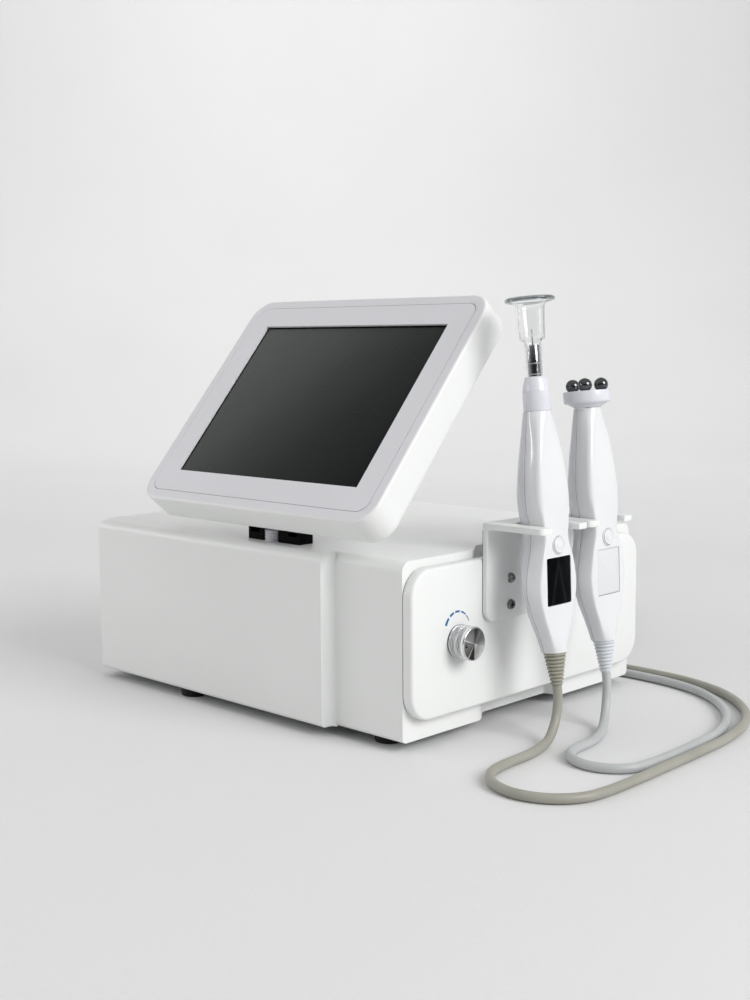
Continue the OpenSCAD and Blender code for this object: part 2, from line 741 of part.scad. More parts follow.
module level_knob() {
    color("silver") stand() translate([panel_t + knob_gap, knob_y, knob_z]) rotate([0, 90, 0])
        difference() {
            union() {
                rotate_extrude() corner_rect(knob_d / 2, knob_len, [0, 0.6, 1.2, 0]);
                translate([0, 0, -knob_gap - panel_t - wall - valve_len * 0.7 + 1])
                    cylinder(d = shaft_d, h = knob_gap + panel_t + wall + valve_len * 0.7);
            }
            for (i = [0:knob_flutes - 1]) rotate(360 * i / knob_flutes)
                translate([knob_d / 2 + 0.25, 0, 3]) cylinder(d = 1.5, h = knob_len - 6, $fn = 16);
            translate([0, -knob_dimple_r, knob_len - 0.8]) cylinder(d = knob_dimple_d, h = 2);
        }
}

// ---- screen ----

// Screen frame: origin at the middle of the casing's lower back edge line
module screen_place() {
    stand() translate([-screen_x, hinge_y, housing_h + hinge_lift])
        rotate([screen_tilt, 0, 0])
            translate([0, -hinge_up, hinge_back]) children();
}

module casing(t0, t1, inset, lower, upper) {
    translate([0, screen_h / 2, t0])
        soft_slab(screen_w - 2 * inset, screen_h - 2 * inset, t1 - t0, screen_corner_r - inset,
            lower, upper);
}

cover_screw_in = 16;
cover_screws = [for (sx = [-1, 1], y = [cover_screw_in, screen_h - cover_screw_in])
    [sx * (screen_w / 2 - cover_screw_in), y]];
split_z = screen_t - front_half_t;
boss_d = 8;

module screen_rear_cover() {
    color("white") screen_place() difference() {
        casing(0, split_z, 0, 6, 0);
        casing(screen_wall, split_z + 1, screen_wall, 3, 0);
        for (p = cover_screws) translate([p[0], p[1], -1])
            cylinder(d = m3_d + clear_hole, h = screen_wall + 2);
        for (sx = [-1, 1]) translate([sx * arm_pitch / 2, hinge_up + arm_plate_h - 8, -1])
            cylinder(d = m3_d + clear_hole, h = screen_wall + 2);
        for (row = [0:5], sx = [-1, 1]) translate([sx * 60 - 22, screen_h * 0.72 + row * 7, -1])
            linear_extrude(screen_wall + 2) corner_rect(44, 3, [1.4, 1.4, 1.4, 1.4]);
    }
}

module screen_front_frame() {
    color("gainsboro") screen_place() difference() {
        union() {
            difference() {
                casing(split_z, front_z, 0, 0, 2.5);
                casing(split_z - 1, front_z - overlay_pocket - bezel_t, screen_wall, 0, 1);
            }
            for (p = cover_screws) translate([p[0], p[1], split_z])
                cylinder(d = boss_d, h = front_half_t - overlay_pocket - bezel_t + eps);
        }
        translate([0, screen_h / 2, front_z - overlay_pocket])
            linear_extrude(overlay_pocket + 1)
                middle_rect(overlay_w + loose, overlay_h + loose, overlay_corner_r);
        translate([0, screen_h / 2, split_z + 1])
            linear_extrude(front_half_t) middle_rect(display_w + 1, display_h + 1, 1);
        for (p = cover_screws) translate([p[0], p[1], split_z - 1])
            cylinder(d = m3_d + tapped_hole, h = 12);
    }
}

module screen_overlay() {
    color("lightgray") screen_place() translate([0, screen_h / 2, front_z - overlay_t])
        linear_extrude(overlay_t) difference() {
            middle_rect(overlay_w, overlay_h, overlay_corner_r);
            middle_rect(display_w, display_h, 0.5);
        }
}

module display_panel() {
    color("#202428") screen_place()
        translate([0, screen_h / 2, front_z - overlay_pocket - bezel_t - glass_t])
            linear_extrude(glass_t)
                middle_rect(display_w + 2 * glass_margin, display_h + 2 * glass_margin, 1);
}

module screen_cover_screws() {
    color("silver") screen_place() for (p = cover_screws) translate([p[0], p[1], 0])
        mirror([0, 0, 1]) pan_screw(m3_d, screen_wall + split_z + 2, m3_head_d, m3_head_h);
}

arm_places = [-arm_pitch / 2, arm_pitch / 2];

// Steel plate on the casing's back with two arms down to the hinge pin
module screen_arm() {
    color("black") screen_place() difference() {
        union() {
            translate([-mount_w / 2, hinge_up + 1, -arm_plate_t])
                cube([mount_w, arm_plate_h, arm_plate_t]);
            for (x = arm_places) translate([x - arm_w / 2, hinge_up, -hinge_back]) {
                rotate([0, 90, 0]) cylinder(r = arm_r, h = arm_w);
                translate([0, -arm_r, 0]) cube([arm_w, 2 * arm_r, hinge_back - eps]);
            }
        }
        translate([-mount_w, hinge_up, -hinge_back]) rotate([0, 90, 0])
            cylinder(d = pin_d + fit, h = 2 * mount_w);
        for (x = arm_places) translate([x, hinge_up + arm_plate_h - 8, -arm_plate_t - 1])
            cylinder(d = m3_d + clear_hole, h = arm_plate_t + 2);
    }
}

module screen_mount() {
    block_h = hinge_lift + arm_r;
    color("black") stand() translate([-screen_x, 0, housing_h]) difference() {
        union() {
            translate([-mount_w / 2, mount_front, 0]) cube([mount_w, mount_d, hinge_lift]);
            along_x(-mount_w / 2, mount_w / 2) translate([hinge_y, hinge_lift]) circle(arm_r);
        }
        for (x = arm_places) translate([x - arm_w / 2 - arm_gap, mount_front - 1, mount_floor])
            cube([arm_w + 2 * arm_gap, hinge_y + arm_r + 2 - mount_front, block_h]);
        translate([-mount_w, hinge_y, hinge_lift]) rotate([0, 90, 0]) cylinder(d = pin_d, h = 2 * mount_w);
        // notch for the screen cable
        translate([sleeve_x + screen_x, sleeve_y, -1]) cylinder(d = sleeve_d + 2 * seat, h = block_h + 9);
        translate([sleeve_x + screen_x - sleeve_d / 2 - seat, 0, -1])
            cube([sleeve_d + 2 * seat, sleeve_y, block_h + 9]);
    }
}

module hinge_pin() {
    color("silver") stand() translate([-screen_x - mount_w / 2 + 0.5, hinge_y, housing_h + hinge_lift])
        rotate([0, 90, 0]) for (span = [[0, mount_w / 2 - sleeve_d / 2 - 4.6],
            [mount_w / 2 + 6.4, mount_w - 1]])
            translate([0, 0, span[0]]) cylinder(d = pin_d, h = span[1] - span[0]);
}

// Ribbed sleeve that takes the screen's cable out of the housing
module cable_sleeve() {
    rib = 2.4;
    color("lightgray") stand() translate([sleeve_x, sleeve_y, housing_h]) rotate_extrude() {
        square([sleeve_d / 2 - 0.8, sleeve_h]);
        for (i = [0:2]) translate([0, i * rib]) corner_rect(sleeve_d / 2, rib * 0.7, [0, 0.8, 0.8, 0]);
    }
}

// ---- inside the housing ----

psu_w = 110;
psu_d = 150;
psu_h = 44;
psu_x = -housing_w + wall + 14;
psu_y = 60;

module power_supply() {
    color("silver") stand() translate([psu_x, psu_y, base_top]) difference() {
        cube([psu_w, psu_d, psu_h]);
        for (i = [0:9]) translate([12 + i * 9, 20, psu_h - 1.2]) cube([4, psu_d - 40, 2]);
    }
}

// Board on four pillars, with a finned heat sink and a transformer
board_w = 120;
board_d = 130;
board_t = 1.6;
board_y = 40;
board_gap = 29;
pillar_d = 6;
pillar_h = 8;
fin_pitch = 5;
fin_t = 2;
fin_h = 22;
fin_len = 50;
fin_count = 8;
sink_base = 4;
coil_box = [30, 34, 24];

module control_board() {
    top = pillar_h + board_t - eps;
    color("seagreen") stand() translate([psu_x + psu_w + board_gap, board_y, base_top]) {
        for (x = [pillar_d, board_w - pillar_d], y = [pillar_d, board_d - pillar_d])
            translate([x, y, 0]) cylinder(d = pillar_d, h = pillar_h);
        translate([0, 0, pillar_h]) cube([board_w, board_d, board_t]);
        for (i = [0:fin_count - 1])
            translate([fin_len * 0.4 + i * fin_pitch, fin_len * 0.6, top]) cube([fin_t, fin_len, fin_h]);
        translate([fin_len * 0.4 - fin_t, fin_len * 0.6 - fin_t, top])
            cube([(fin_count - 1) * fin_pitch + 3 * fin_t, fin_len + 2 * fin_t, sink_base]);
        translate([board_w - coil_box[0] - 2 * pillar_d, board_d - coil_box[1] - 4 * pillar_d, top])
            cube(coil_box);
    }
}

pump_d = 46;
pump_len = 80;
pump_x = -62;
pump_y = 176;
pump_port_h = 14;
hose_d = 9;
hose_rise = 30;

module vacuum_pump() {
    color("dimgray") stand() translate([pump_x, pump_y, base_top]) {
        translate([-pump_d / 2, 0, 0]) cube([pump_d, pump_len, 6]);
        translate([0, 0, 6 + pump_d / 2 - 2]) rotate([-90, 0, 0]) {
            cylinder(d = pump_d, h = pump_len * 0.55);
            translate([0, 0, pump_len * 0.55 - eps]) cylinder(d = pump_d * 0.7, h = pump_len * 0.45);
        }
        translate([0, pump_len * 0.15, pump_d]) cylinder(d = tube_d, h = pump_port_h);
    }
}

// Silicone hose from the pump's port to the valve
module pump_hose() {
    start_z = base_top + pump_d + 6;
    end_x = -wall - valve_len - 2;
    path = smooth([[pump_x, pump_y + pump_len * 0.15, start_z],
        [pump_x, pump_y + pump_len * 0.15, start_z + hose_rise * 0.4],
        [pump_x, pump_y + pump_len * 0.15 - pump_port_h, start_z + hose_rise * 0.9],
        [pump_x, (pump_y + knob_y) / 2 + 8, start_z + hose_rise],
        [pump_x, knob_y + 34, start_z + hose_rise * 0.87],
        [pump_x - 1, knob_y + 16, knob_z + 2],
        [end_x - 16, knob_y + valve_w * 0.3 + 1, knob_z],
        [end_x, knob_y + valve_w * 0.3, knob_z]], 3);
    color("lightsteelblue") stand() difference() {
        cord(path, hose_d, [1, 0, 0]);
        translate([pump_x, pump_y + pump_len * 0.15, start_z - 5])
            cylinder(d = tube_d + fit, h = pump_port_h);
        translate([end_x - 8, knob_y + valve_w * 0.3, knob_z]) rotate([0, 90, 0])
            cylinder(d = tube_d + fit, h = 12);
    }
}

module fan_frame() {
    strut_t = 3;
    color("black") stand() translate([fan_x, housing_d - rear_t, fan_z]) rotate([90, 0, 0]) {
        difference() {
            translate([0, 0, fan_t / 2]) linear_extrude(fan_t, center = true) middle_rect(fan_w, fan_w, 3);
            translate([0, 0, -1]) cylinder(d = fan_tip_d + 2, h = fan_t + 2);
            for (sx = [-1, 1], sz = [-1, 1])
                translate([sx * fan_hole_pitch / 2, sz * fan_hole_pitch / 2, -1])
                    cylinder(d = m3_d + tapped_hole, h = 12);
        }
        // struts and the boss with the rotor's pin
        for (a = [0, 60, 120]) rotate(a) translate([-fan_w / 2 + 1, -2, fan_t - strut_t - 0.5])
            cube([fan_w - 2, 4, strut_t]);
        translate([0, 0, fan_t - strut_t - 1]) cylinder(d = fan_hub_d, h = strut_t + 1);
        translate([0, 0, 4]) cylinder(d = 3, h = fan_t - strut_t - 4);
    }
}

module fan_rotor() {
    blade_h = fan_t - 8;
    color("dimgray") stand() translate([fan_x, housing_d - rear_t, fan_z]) rotate([90, 0, 0])
        translate([0, 0, 2]) difference() {
            union() {
                cylinder(d = fan_hub_d, h = blade_h + 2);
                for (i = [0:fan_blades - 1]) rotate(360 * i / fan_blades)
                    translate([fan_hub_d / 2 - 1, 0, blade_h / 2 + 1]) rotate([32, 0, 0])
                        translate([0, -0.8, -6.5]) cube([fan_tip_d / 2 - fan_hub_d / 2 - 1, 1.6, 13]);
            }
            translate([0, 0, 1.5]) cylinder(d = 3 + 2 * fit, h = fan_t);
        }
}

module mains_inlet() {
    color("black") stand() translate([inlet_x, housing_d, low_z]) rotate([90, 0, 0]) difference() {
        union() {
            translate([0, 0, -2]) linear_extrude(2) middle_rect(inlet_w + 8, inlet_h + 7, 3);
            linear_extrude(inlet_deep) middle_rect(inlet_w, inlet_h, 3);
        }
        translate([0, 0, -3]) linear_extrude(inlet_deep) middle_rect(inlet_w - 3, inlet_h - 4, 2);
    }
}

module power_switch() {
    color("black") stand() translate([switch_x, housing_d, low_z]) rotate([90, 0, 0]) difference() {
        union() {
            translate([0, 0, -1.5]) linear_extrude(1.5) middle_rect(switch_w + 4, switch_h + 4, 1.5);
            linear_extrude(switch_deep) middle_rect(switch_w, switch_h, 0.8);
        }
        translate([0, 0, -2]) linear_extrude(10) middle_rect(switch_w - 3, switch_h - 3, 0.5);
        translate([0, 0, rocker_depth]) rotate([90, 0, 0])
            cylinder(d = rocker_pin_d + fit, h = switch_h - 0.8, center = true);
    }
}

module switch_rocker() {
    half = switch_w / 2 - 2.5;
    color("#181818") stand() translate([switch_x, housing_d - rocker_depth, low_z])
        rotate([0, 0, switch_angle]) {
            cylinder(d = rocker_pin_d, h = switch_h - 1, center = true);
            linear_extrude(switch_h - 4, center = true)
                polygon([[-half, 4.8], [0, 3.7], [half, 4.8], [half, 0.5], [2.5, -3.5],
                    [-2.5, -3.5], [-half, 0.5]]);
        }
}

module cable_sockets() {
    color("silver") stand() for (x = socket_x) translate([x, housing_d, low_z]) rotate([90, 0, 0])
        difference() {
            union() {
                translate([0, 0, -socket_flange_t]) cylinder(d = socket_flange_d, h = socket_flange_t);
                cylinder(d = socket_d, h = socket_deep);
            }
            translate([0, 0, -socket_flange_t - 1]) cylinder(d = socket_d - 4, h = socket_deep - 6);
        }
}

// ---- handpieces ----

module hang(i) {
    stand() translate([seat_x + i * rear_hang_out, holder_mid[i], seat_z]) rotate([0, -lean, 0]) children();
}

// One section: a crowned front face between two creases, side walls, and a deep round back
function face_point(row, inset, u) =
    [row[3] - inset + row[5] * (1 - u * u), (row[4] - inset * 0.9) * u, row[0]];
function wall_point(row, inset, side, u) =
    [parting_x + (row[3] - inset - parting_x) * u,
        side * (row[1] - inset + (row[4] - row[1] + inset * 0.1) * u
            + (0.3 + 0.35 * row[5]) * 4 * u * (1 - u)), row[0]];
function back_point(row, inset, a) =
    [parting_x - (row[2] - inset) * pow(abs(sin(a)), 2 / rear_power),
        (row[1] - inset) * sign(cos(a)) * pow(abs(cos(a)), 2 / rear_power), row[0]];
function grip_ring(row, inset) = concat(
    [for (u = [-0.92, -0.5, 0, 0.5, 0.92]) face_point(row, inset, u)],
    [for (u = [0.93, 0.45]) wall_point(row, inset, 1, u)],
    [for (k = [0:rear_sides - 1]) back_point(row, inset, 180 * k / (rear_sides - 1))],
    [for (u = [0.45, 0.93]) wall_point(row, inset, -1, u)]);

module grip_body(inset, low, high) {
    rows = smooth(grip, 2);
    last = len(rows) - 1;
    skin([for (i = [0:last])
        grip_ring(rows[i] + [i == 0 ? -low : i == last ? high : 0, 0, 0, 0, 0, 0], inset)]);
}

module window_block(w, h, depth, front) {
    translate([window_face - 0.4, 0, window_z]) rotate([0, window_lean, 0])
        translate([-depth, -w / 2, -h / 2]) cube([depth + front, w, h]);
}

module button_hole(d) {
    translate([4, 0, button_z]) rotate([0, 90, 0]) cylinder(d = d, h = 20, $fn = 40);
}

module front_shell(i) {
    color("white") hang(i) difference() {
        intersection() {
            grip_body(0, 0, 0);
            translate([parting_x, -40, -150]) cube([60, 80, 300]);
        }
        grip_body(grip_wall, 1, 1);
        window_block(window_w + 0.4, window_h + 0.4, window_t + 4, 5);
        button_hole(button_d + 0.5);
    }
}

module rear_shell(i) {
    color("white") hang(i) union() {
        difference() {
            intersection() {
                grip_body(0, 0, 0);
                translate([parting_x - parting_gap - 60, -40, -150]) cube([60, 80, 300]);
            }
            grip_body(grip_wall, 1, 1);
        }
        // posts that carry the circuit board, rooted in the wall
        for (side = [-1, 1], z = [circuit_z - 18, circuit_z + 16])
            let (root = lookup(z, [for (row = grip) [row[0], row[2] - parting_x]]) - grip_wall * 0.8)
                translate([-root, side * 5 - 1.5, z - 1.5]) cube([root + circuit_x - eps, 3, 3]);
    }
}

module push_button(i) {
    color("white") hang(i) translate([0, 0, button_z]) rotate([0, 90, 0]) {
        difference() {
            translate([0, 0, button_foot]) rotate_extrude()
                corner_rect(button_d / 2, button_face - button_foot, [0, 0, 0.8, 0]);
            difference() {
                translate([0, 0, button_face - 0.5]) cylinder(d = button_d - 3, h = 2);
                cylinder(d = button_d - 6, h = button_face + 2);
            }
        }
    }
}

module circuit(i) {
    color("seagreen") hang(i) {
        translate([circuit_x, -circuit_w / 2, circuit_z - circuit_len / 2])
            cube([circuit_t, circuit_w, circuit_len]);
        translate([circuit_x + circuit_t - eps, -switch_cap_w / 2, button_z - switch_cap_w / 2])
            cube([switch_cap_h, switch_cap_w, switch_cap_w]);
    }
}

// Ribbed boot where the cable leaves the handpiece
module relief(i) {
    step = relief_len / relief_rings;
    hang(i) translate([0, 0, grip_low]) mirror([0, 0, 1]) rotate_extrude() {
        translate([0, -spigot_h]) square([spigot_d / 2, spigot_h + 1]);
        polygon([[0, seat], [relief_top_d / 2 - 1.2, seat], [relief_end_d / 2 - 0.9, relief_len],
            [0, relief_len]]);
        for (k = [0:relief_rings - 1])
            let (r = relief_top_d / 2 + (relief_end_d - relief_top_d) / 2 * (k + 0.5) / relief_rings)
                translate([0, seat + k * step]) corner_rect(r, step * 0.62, [0, 0.6, 0.6, 0]);
    }
}

module vacuum_front_shell() { front_shell(0); }
module vacuum_rear_shell() { rear_shell(0); }
module vacuum_button() { push_button(0); }
module vacuum_circuit() { circuit(0); }
module vacuum_relief() { color("darkgray") relief(0); }
module ball_front_shell() { front_shell(1); }
module ball_rear_shell() { rear_shell(1); }
module ball_button() { push_button(1); }
module ball_circuit() { circuit(1); }
module ball_relief() { color("lightgray") relief(1); }

module vacuum_display() {
    color("#101214") hang(0) window_block(window_w, window_h, window_t, 0);
}

module ball_plate() {
    color("whitesmoke") hang(1) window_block(window_w, window_h, window_t, 0);
}

// Silicone tube through the grip, from the nozzle down to the boot
module vacuum_tube() {
    low = grip_low + spigot_h + seat;
    color("lightsteelblue") hang(0) translate([0, 0, low]) cylinder(d = tube_d, h = collar_z + 3 - low);
}

module vacuum_collar() {
    color("gainsboro") hang(0) translate([0, 0, collar_z]) rotate_extrude() difference() {
        union() {
            polygon([[0, 0], [collar_d / 2 - 0.3, 0], [collar_d / 2, 0.5], [collar_d / 2, collar_side_h],
                [collar_top_d / 2 + 0.6, collar_h - 1], [collar_top_d / 2, collar_h], [0, collar_h]]);
            translate([0, -6]) square([collar_d / 2 - grip_wall - 1.2, 7]);
        }
        translate([-1, -7]) square([nozzle_d / 2 + 1 + 0.05, collar_h + 8]);
    }
}

module vacuum_nozzle() {
    color("silver") hang(0) rotate_extrude() difference() {
        union() {
            translate([0, collar_z - 4])
                corner_rect(nozzle_d / 2, nozzle_top - collar_z + 4, [0, 0, 0.6, 0]);
            square([needle_d / 2, needle_top]);
        }
        square([tube_d / 2, collar_z + 4]);
        for (z = [collar_z + collar_h + 1.5, collar_z + collar_h + 9.5])
            translate([nozzle_d / 2 - 0.3, z]) square([1, 0.6]);
    }
}

// Glass cup: neck over the nozzle, shouldered body, flared mouth with a round rim
module glass_cup() {
    bore_r = nozzle_d / 2 + fit;
    body_r = cup_d / 2;
    flare_z = cup_top - rim_d / 2;
    color("#d8eef4", 0.4) hang(0) rotate_extrude() {
        difference() {
            union() {
                polygon([[0, cup_low], [bore_r + cup_wall, cup_low], [neck_top_d / 2, cup_shoulder - 3],
                    [0, cup_shoulder - 3]]);
                translate([0, cup_shoulder - 4]) corner_rect(body_r - 1, 12, [0, 4, 0, 0]);
                polygon([[0, cup_shoulder + 1], [body_r - 1.2, cup_shoulder + 3], [body_r, flare_z - 7],
                    [body_r + 1.2, flare_z - 3.4], [body_r + 3.4, flare_z - 1.2],
                    [cup_rim_d / 2 - 1, flare_z], [0, flare_z]]);
            }
            polygon([[-1, cup_low - 1], [bore_r, cup_low - 1], [bore_r, nozzle_top],
                [neck_top_d / 2 - cup_wall, cup_shoulder - 4], [neck_top_d / 2 - cup_wall, cup_shoulder],
                [body_r - 3, cup_shoulder], [body_r - 1.2 - cup_wall, cup_shoulder + 3],
                [body_r - cup_wall, flare_z - 6.4], [body_r + 0.6, flare_z - 2.4],
                [cup_rim_d / 2 - 4, flare_z - 0.6], [cup_rim_d / 2 - 3, flare_z + 1], [-1, flare_z + 1]]);
        }
        translate([(cup_rim_d - rim_d) / 2, flare_z]) circle(d = rim_d, $fn = 24);
    }
}

module ball_motor() {
    color("silver") hang(1) difference() {
        translate([0, 0, motor_z]) cylinder(d = motor_d, h = motor_len);
        translate([0, 0, motor_z + 6]) cylinder(d = head_shaft_d + fit, h = motor_len);
    }
}

module head_shaft() {
    color("silver") hang(1) translate([0, 0, motor_z + 8])
        cylinder(d = head_shaft_d, h = head_low + 8 - motor_z - 8);
}

module turning_head() {
    top = head_low + head_cone_h + head_h;
    color("gainsboro") hang(1) difference() {
        rotate_extrude() {
            polygon([[0, head_low], [head_low_d / 2, head_low], [head_d / 2 - 2.6, head_low + head_cone_h],
                [head_d / 2 - 2.6, head_low + head_cone_h + 1], [0, head_low + head_cone_h + 1]]);
            translate([0, head_low + head_cone_h - eps]) corner_rect(head_d / 2, head_h, [0, 2.6, 0.8, 0]);
        }
        translate([0, 0, head_low - 1]) cylinder(d = head_shaft_d, h = 9);
        for (k = [0:ball_count - 1]) rotate(ball_turn + 360 * k / ball_count)
            translate([ball_ring_r, 0, 0]) {
                translate([0, 0, top + ball_lift]) sphere(d = ball_d);
                translate([0, 0, top - 7]) cylinder(d = stud_d, h = 8);
            }
    }
}

module ball_electrodes() {
    top = head_low + head_cone_h + head_h;
    color("dimgray") hang(1) for (k = [0:ball_count - 1]) rotate(ball_turn + 360 * k / ball_count)
        translate([ball_ring_r, 0, 0]) {
            translate([0, 0, top + ball_lift]) sphere(d = ball_d);
            translate([0, 0, top - 6.8]) cylinder(d = stud_d, h = 7);
        }
}

// ---- cables ----

// Point on handpiece i's axis, in the machine's frame
function hung_point(i, z) = [frame_x + seat_x + i * rear_hang_out - z * sin(lean), frame_y + holder_mid[i],
    foot_h + seat_z + z * cos(lean)];
function plug_end(i) = [frame_x + socket_x[i], frame_y + housing_d + socket_flange_t + plug_len,
    foot_h + low_z];

// Slack S from the coil's top turn up to the plug
function plug_rise(i) = let (to = plug_end(i) + [0, cable_d, 0],
        from = [coil_mid[i][0] + coil_r + cable_d / 2, coil_mid[i][1], cable_d * 1.5])
    concat([for (k = [0:2 * rise_steps]) let (t = k / (2 * rise_steps), ease = (1 - cos(180 * t)) / 2)
        [from[0] + (to[0] - from[0]) * ease, from[1] + (to[1] - from[1]) * t,
            from[2] + (to[2] - from[2]) * ease]], [plug_end(i)]);

module free_cable(i, route) {
    low = grip_low - relief_len - seat;
    start = hung_point(i, low) - [0, 0, relief_end_d / 2 * sin(lean)];
    cord(smooth(concat([start, start - [0, 0, cable_d]], route), 3), cable_d, [0, 1, 0]);
    cord(plug_rise(i), cable_d, [1, 0, 0]);
}

module cable_coil(mid, r, d, layers) {
    wide = 2 * d + 0.8;
    translate([mid[0], mid[1], 0]) rotate_extrude()
        translate([r - wide / 2, 0]) corner_rect(wide, d * layers + 0.4, [for (i = [0:3]) d / 3]);
}

module cable_plugs() {
    color("silver") stand() for (x = socket_x) translate([x, housing_d + socket_flange_t, low_z])
        rotate([-90, 0, 0]) rotate_extrude() {
            corner_rect(plug_d / 2, 15, [0, 0.6, 0.8, 0]);
            translate([0, 14]) corner_rect(plug_d / 2 - 2, plug_len - 14, [0, 0, 1.5, 0]);
        }
}

module vacuum_cable() { color("darkgray") free_cable(0, vacuum_route); }
module vacuum_cable_coil() { color("darkgray") cable_coil(coil_mid[0], coil_r, cable_d, 2); }
module ball_cable() { color("white") free_cable(1, ball_route); }
module ball_cable_coil() { color("white") cable_coil(coil_mid[1], coil_r, cable_d, 2); }

inlet_plug_end = [frame_x + inlet_x, frame_y + housing_d + inlet_plug_len + inlet_relief_len - 17,
    foot_h + low_z];

module mains_lead() {
    color("black") {
        cord(smooth(concat([inlet_plug_end, inlet_plug_end + [0, 10, 0]], mains_route), 3),
            lead_d, [1, 0, 0]);
        cord(smooth(mains_tail, 3), lead_d, [0, 1, 0]);
    }
}

module mains_coil() {
    color("black") cable_coil(mains_coil_mid, mains_coil_r, lead_d, mains_coil_layers);
}

module mains_connector() {
    color("black") stand() translate([inlet_x, housing_d - 17, low_z]) rotate([-90, 0, 0]) {
        linear_extrude(inlet_plug_len) middle_rect(inlet_w - 3.4, inlet_h - 4.4, 2);
        translate([0, 0, inlet_plug_len - eps])
            cylinder(d1 = 13, d2 = lead_d + 1.6, h = inlet_relief_len + eps);
    }
}

module mains_plug() {
    color("black") translate(mains_tail[len(mains_tail) - 1]) rotate([0, 90, 0]) {
        cylinder(d1 = lead_d + 1.6, d2 = 15, h = 16);
        translate([0, 0, 16 - eps]) linear_extrude(lead_plug_len) middle_rect(lead_plug_h, lead_plug_w, 6);
        for (side = [-1, 1]) translate([0, side * lead_pin_gap / 2, 16 + lead_plug_len - eps])
            cylinder(d = lead_pin_d, h = lead_pin_len);
    }
}

housing_shell();
base_plate();
rear_panel();
side_panel();
rubber_feet();
base_screws();
panel_screws();
front_holder();
rear_holder();
holder_screws();
level_valve();
level_knob();
screen_mount();
hinge_pin();
cable_sleeve();
screen_arm();
screen_rear_cover();
screen_front_frame();
screen_overlay();
display_panel();
screen_cover_screws();
power_supply();
control_board();
vacuum_pump();
pump_hose();
fan_frame();
fan_rotor();
mains_inlet();
power_switch();
switch_rocker();
cable_sockets();
vacuum_front_shell();
vacuum_rear_shell();
vacuum_collar();
vacuum_nozzle();
glass_cup();
vacuum_button();
vacuum_display();
vacuum_circuit();
vacuum_tube();
vacuum_relief();
ball_front_shell();
ball_rear_shell();
ball_button();
ball_plate();
ball_circuit();
ball_motor();
ball_relief();
turning_head();
head_shaft();
ball_electrodes();
vacuum_cable();
vacuum_cable_coil();
ball_cable();
ball_cable_coil();
cable_plugs();
mains_lead();
mains_coil();
mains_connector();
mains_plug();
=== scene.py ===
# A table-top facial toning machine with a tilting screen, and its two corded handpieces.
from math import asin, copysign, cos, hypot, pi, radians, sin, sqrt, tau
import bmesh, bpy
from mathutils import Matrix, Vector


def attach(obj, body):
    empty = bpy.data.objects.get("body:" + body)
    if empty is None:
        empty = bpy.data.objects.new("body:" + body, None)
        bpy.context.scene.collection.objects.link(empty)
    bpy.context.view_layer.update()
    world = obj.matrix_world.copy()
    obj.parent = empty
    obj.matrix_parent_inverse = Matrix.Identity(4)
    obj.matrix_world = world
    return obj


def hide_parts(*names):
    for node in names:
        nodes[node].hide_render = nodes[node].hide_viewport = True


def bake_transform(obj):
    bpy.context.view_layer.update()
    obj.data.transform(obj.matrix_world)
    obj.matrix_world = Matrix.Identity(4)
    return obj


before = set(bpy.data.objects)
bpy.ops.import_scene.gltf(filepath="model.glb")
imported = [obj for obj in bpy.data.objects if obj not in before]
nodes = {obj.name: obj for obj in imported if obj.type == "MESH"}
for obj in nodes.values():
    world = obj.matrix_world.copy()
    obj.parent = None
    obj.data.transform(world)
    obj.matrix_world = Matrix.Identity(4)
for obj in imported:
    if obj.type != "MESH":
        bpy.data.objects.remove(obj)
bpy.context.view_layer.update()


# ---- Camera ------------
# Stands low at the machine's front right corner and looks a little down on it. Lens of 49 mm
# on a frame that is 36 mm high.
yaw, pitch, roll = radians(44.155), radians(6.73), radians(-0.33)
back = Vector((sin(yaw) * cos(pitch), -cos(yaw) * cos(pitch), sin(pitch)))
level = Vector((0, 0, 1)).cross(back).normalized()
upright = back.cross(level)
across = level * cos(roll) + upright * sin(roll)
above = upright * cos(roll) - level * sin(roll)
camera = bpy.data.objects.new("camera", bpy.data.cameras.new("camera"))
camera.data.sensor_fit = "VERTICAL"
camera.data.sensor_height = 36
camera.data.lens = 49.22
camera.data.clip_end = 30
camera.matrix_world = Matrix.Translation((0.8197, -0.8521, 0.3055)) @ Matrix(
    (across, above, back)).transposed().to_4x4()
bpy.context.collection.objects.link(camera)
bpy.context.scene.camera = camera


# ---- Cables of the handpieces ------------
# Round PVC jacketed cables, warm grey on the vacuum handpiece and white on the ball one. Each
# drops from its boot, swings out in a loose bend on the table and round the machine's corner,
# and its spare length is coiled behind the machine, under its socket.
MM = 0.001


def colour(code):
    """sRGB hex to linear RGBA."""
    parts = [int(code[i:i + 2], 16) / 255 for i in (0, 2, 4)]
    return [c / 12.92 if c <= 0.04045 else ((c + 0.055) / 1.055) ** 2.4 for c in parts] + [1.0]


def node(material, kind, inputs=(), out=None, stops=(), **settings):
    """Adds a shader node of a kind, and gives its output out, or else the node. Settings are its
    properties or its inputs by name, inputs are (input, socket or value), and stops are a
    ramp's (place, sRGB hex) in order."""
    made = material.node_tree.nodes.new("ShaderNode" + kind)
    for name, value in settings.items():
        if hasattr(made, name):
            setattr(made, name, value)
        else:
            made.inputs[name.replace("_", " ")].default_value = value
    for name, value in inputs:
        if isinstance(value, bpy.types.NodeSocket):
            material.node_tree.links.new(value, made.inputs[name])
        else:
            made.inputs[name].default_value = value
    if stops:
        elements = made.color_ramp.elements
        for element, (at, code) in zip(elements, (stops[0], stops[-1])):
            element.position, element.color = at, colour(code)
        for at, code in stops[1:-1]:
            elements.new(at).color = colour(code)
    return made if out is None else made.outputs[out]


def feed(material, **sources):
    """Links sockets to the inputs of those names of the material's shader."""
    shader = material.node_tree.nodes["Principled BSDF"]
    for name, socket in sources.items():
        material.node_tree.links.new(socket, shader.inputs[name.replace("_", " ")])


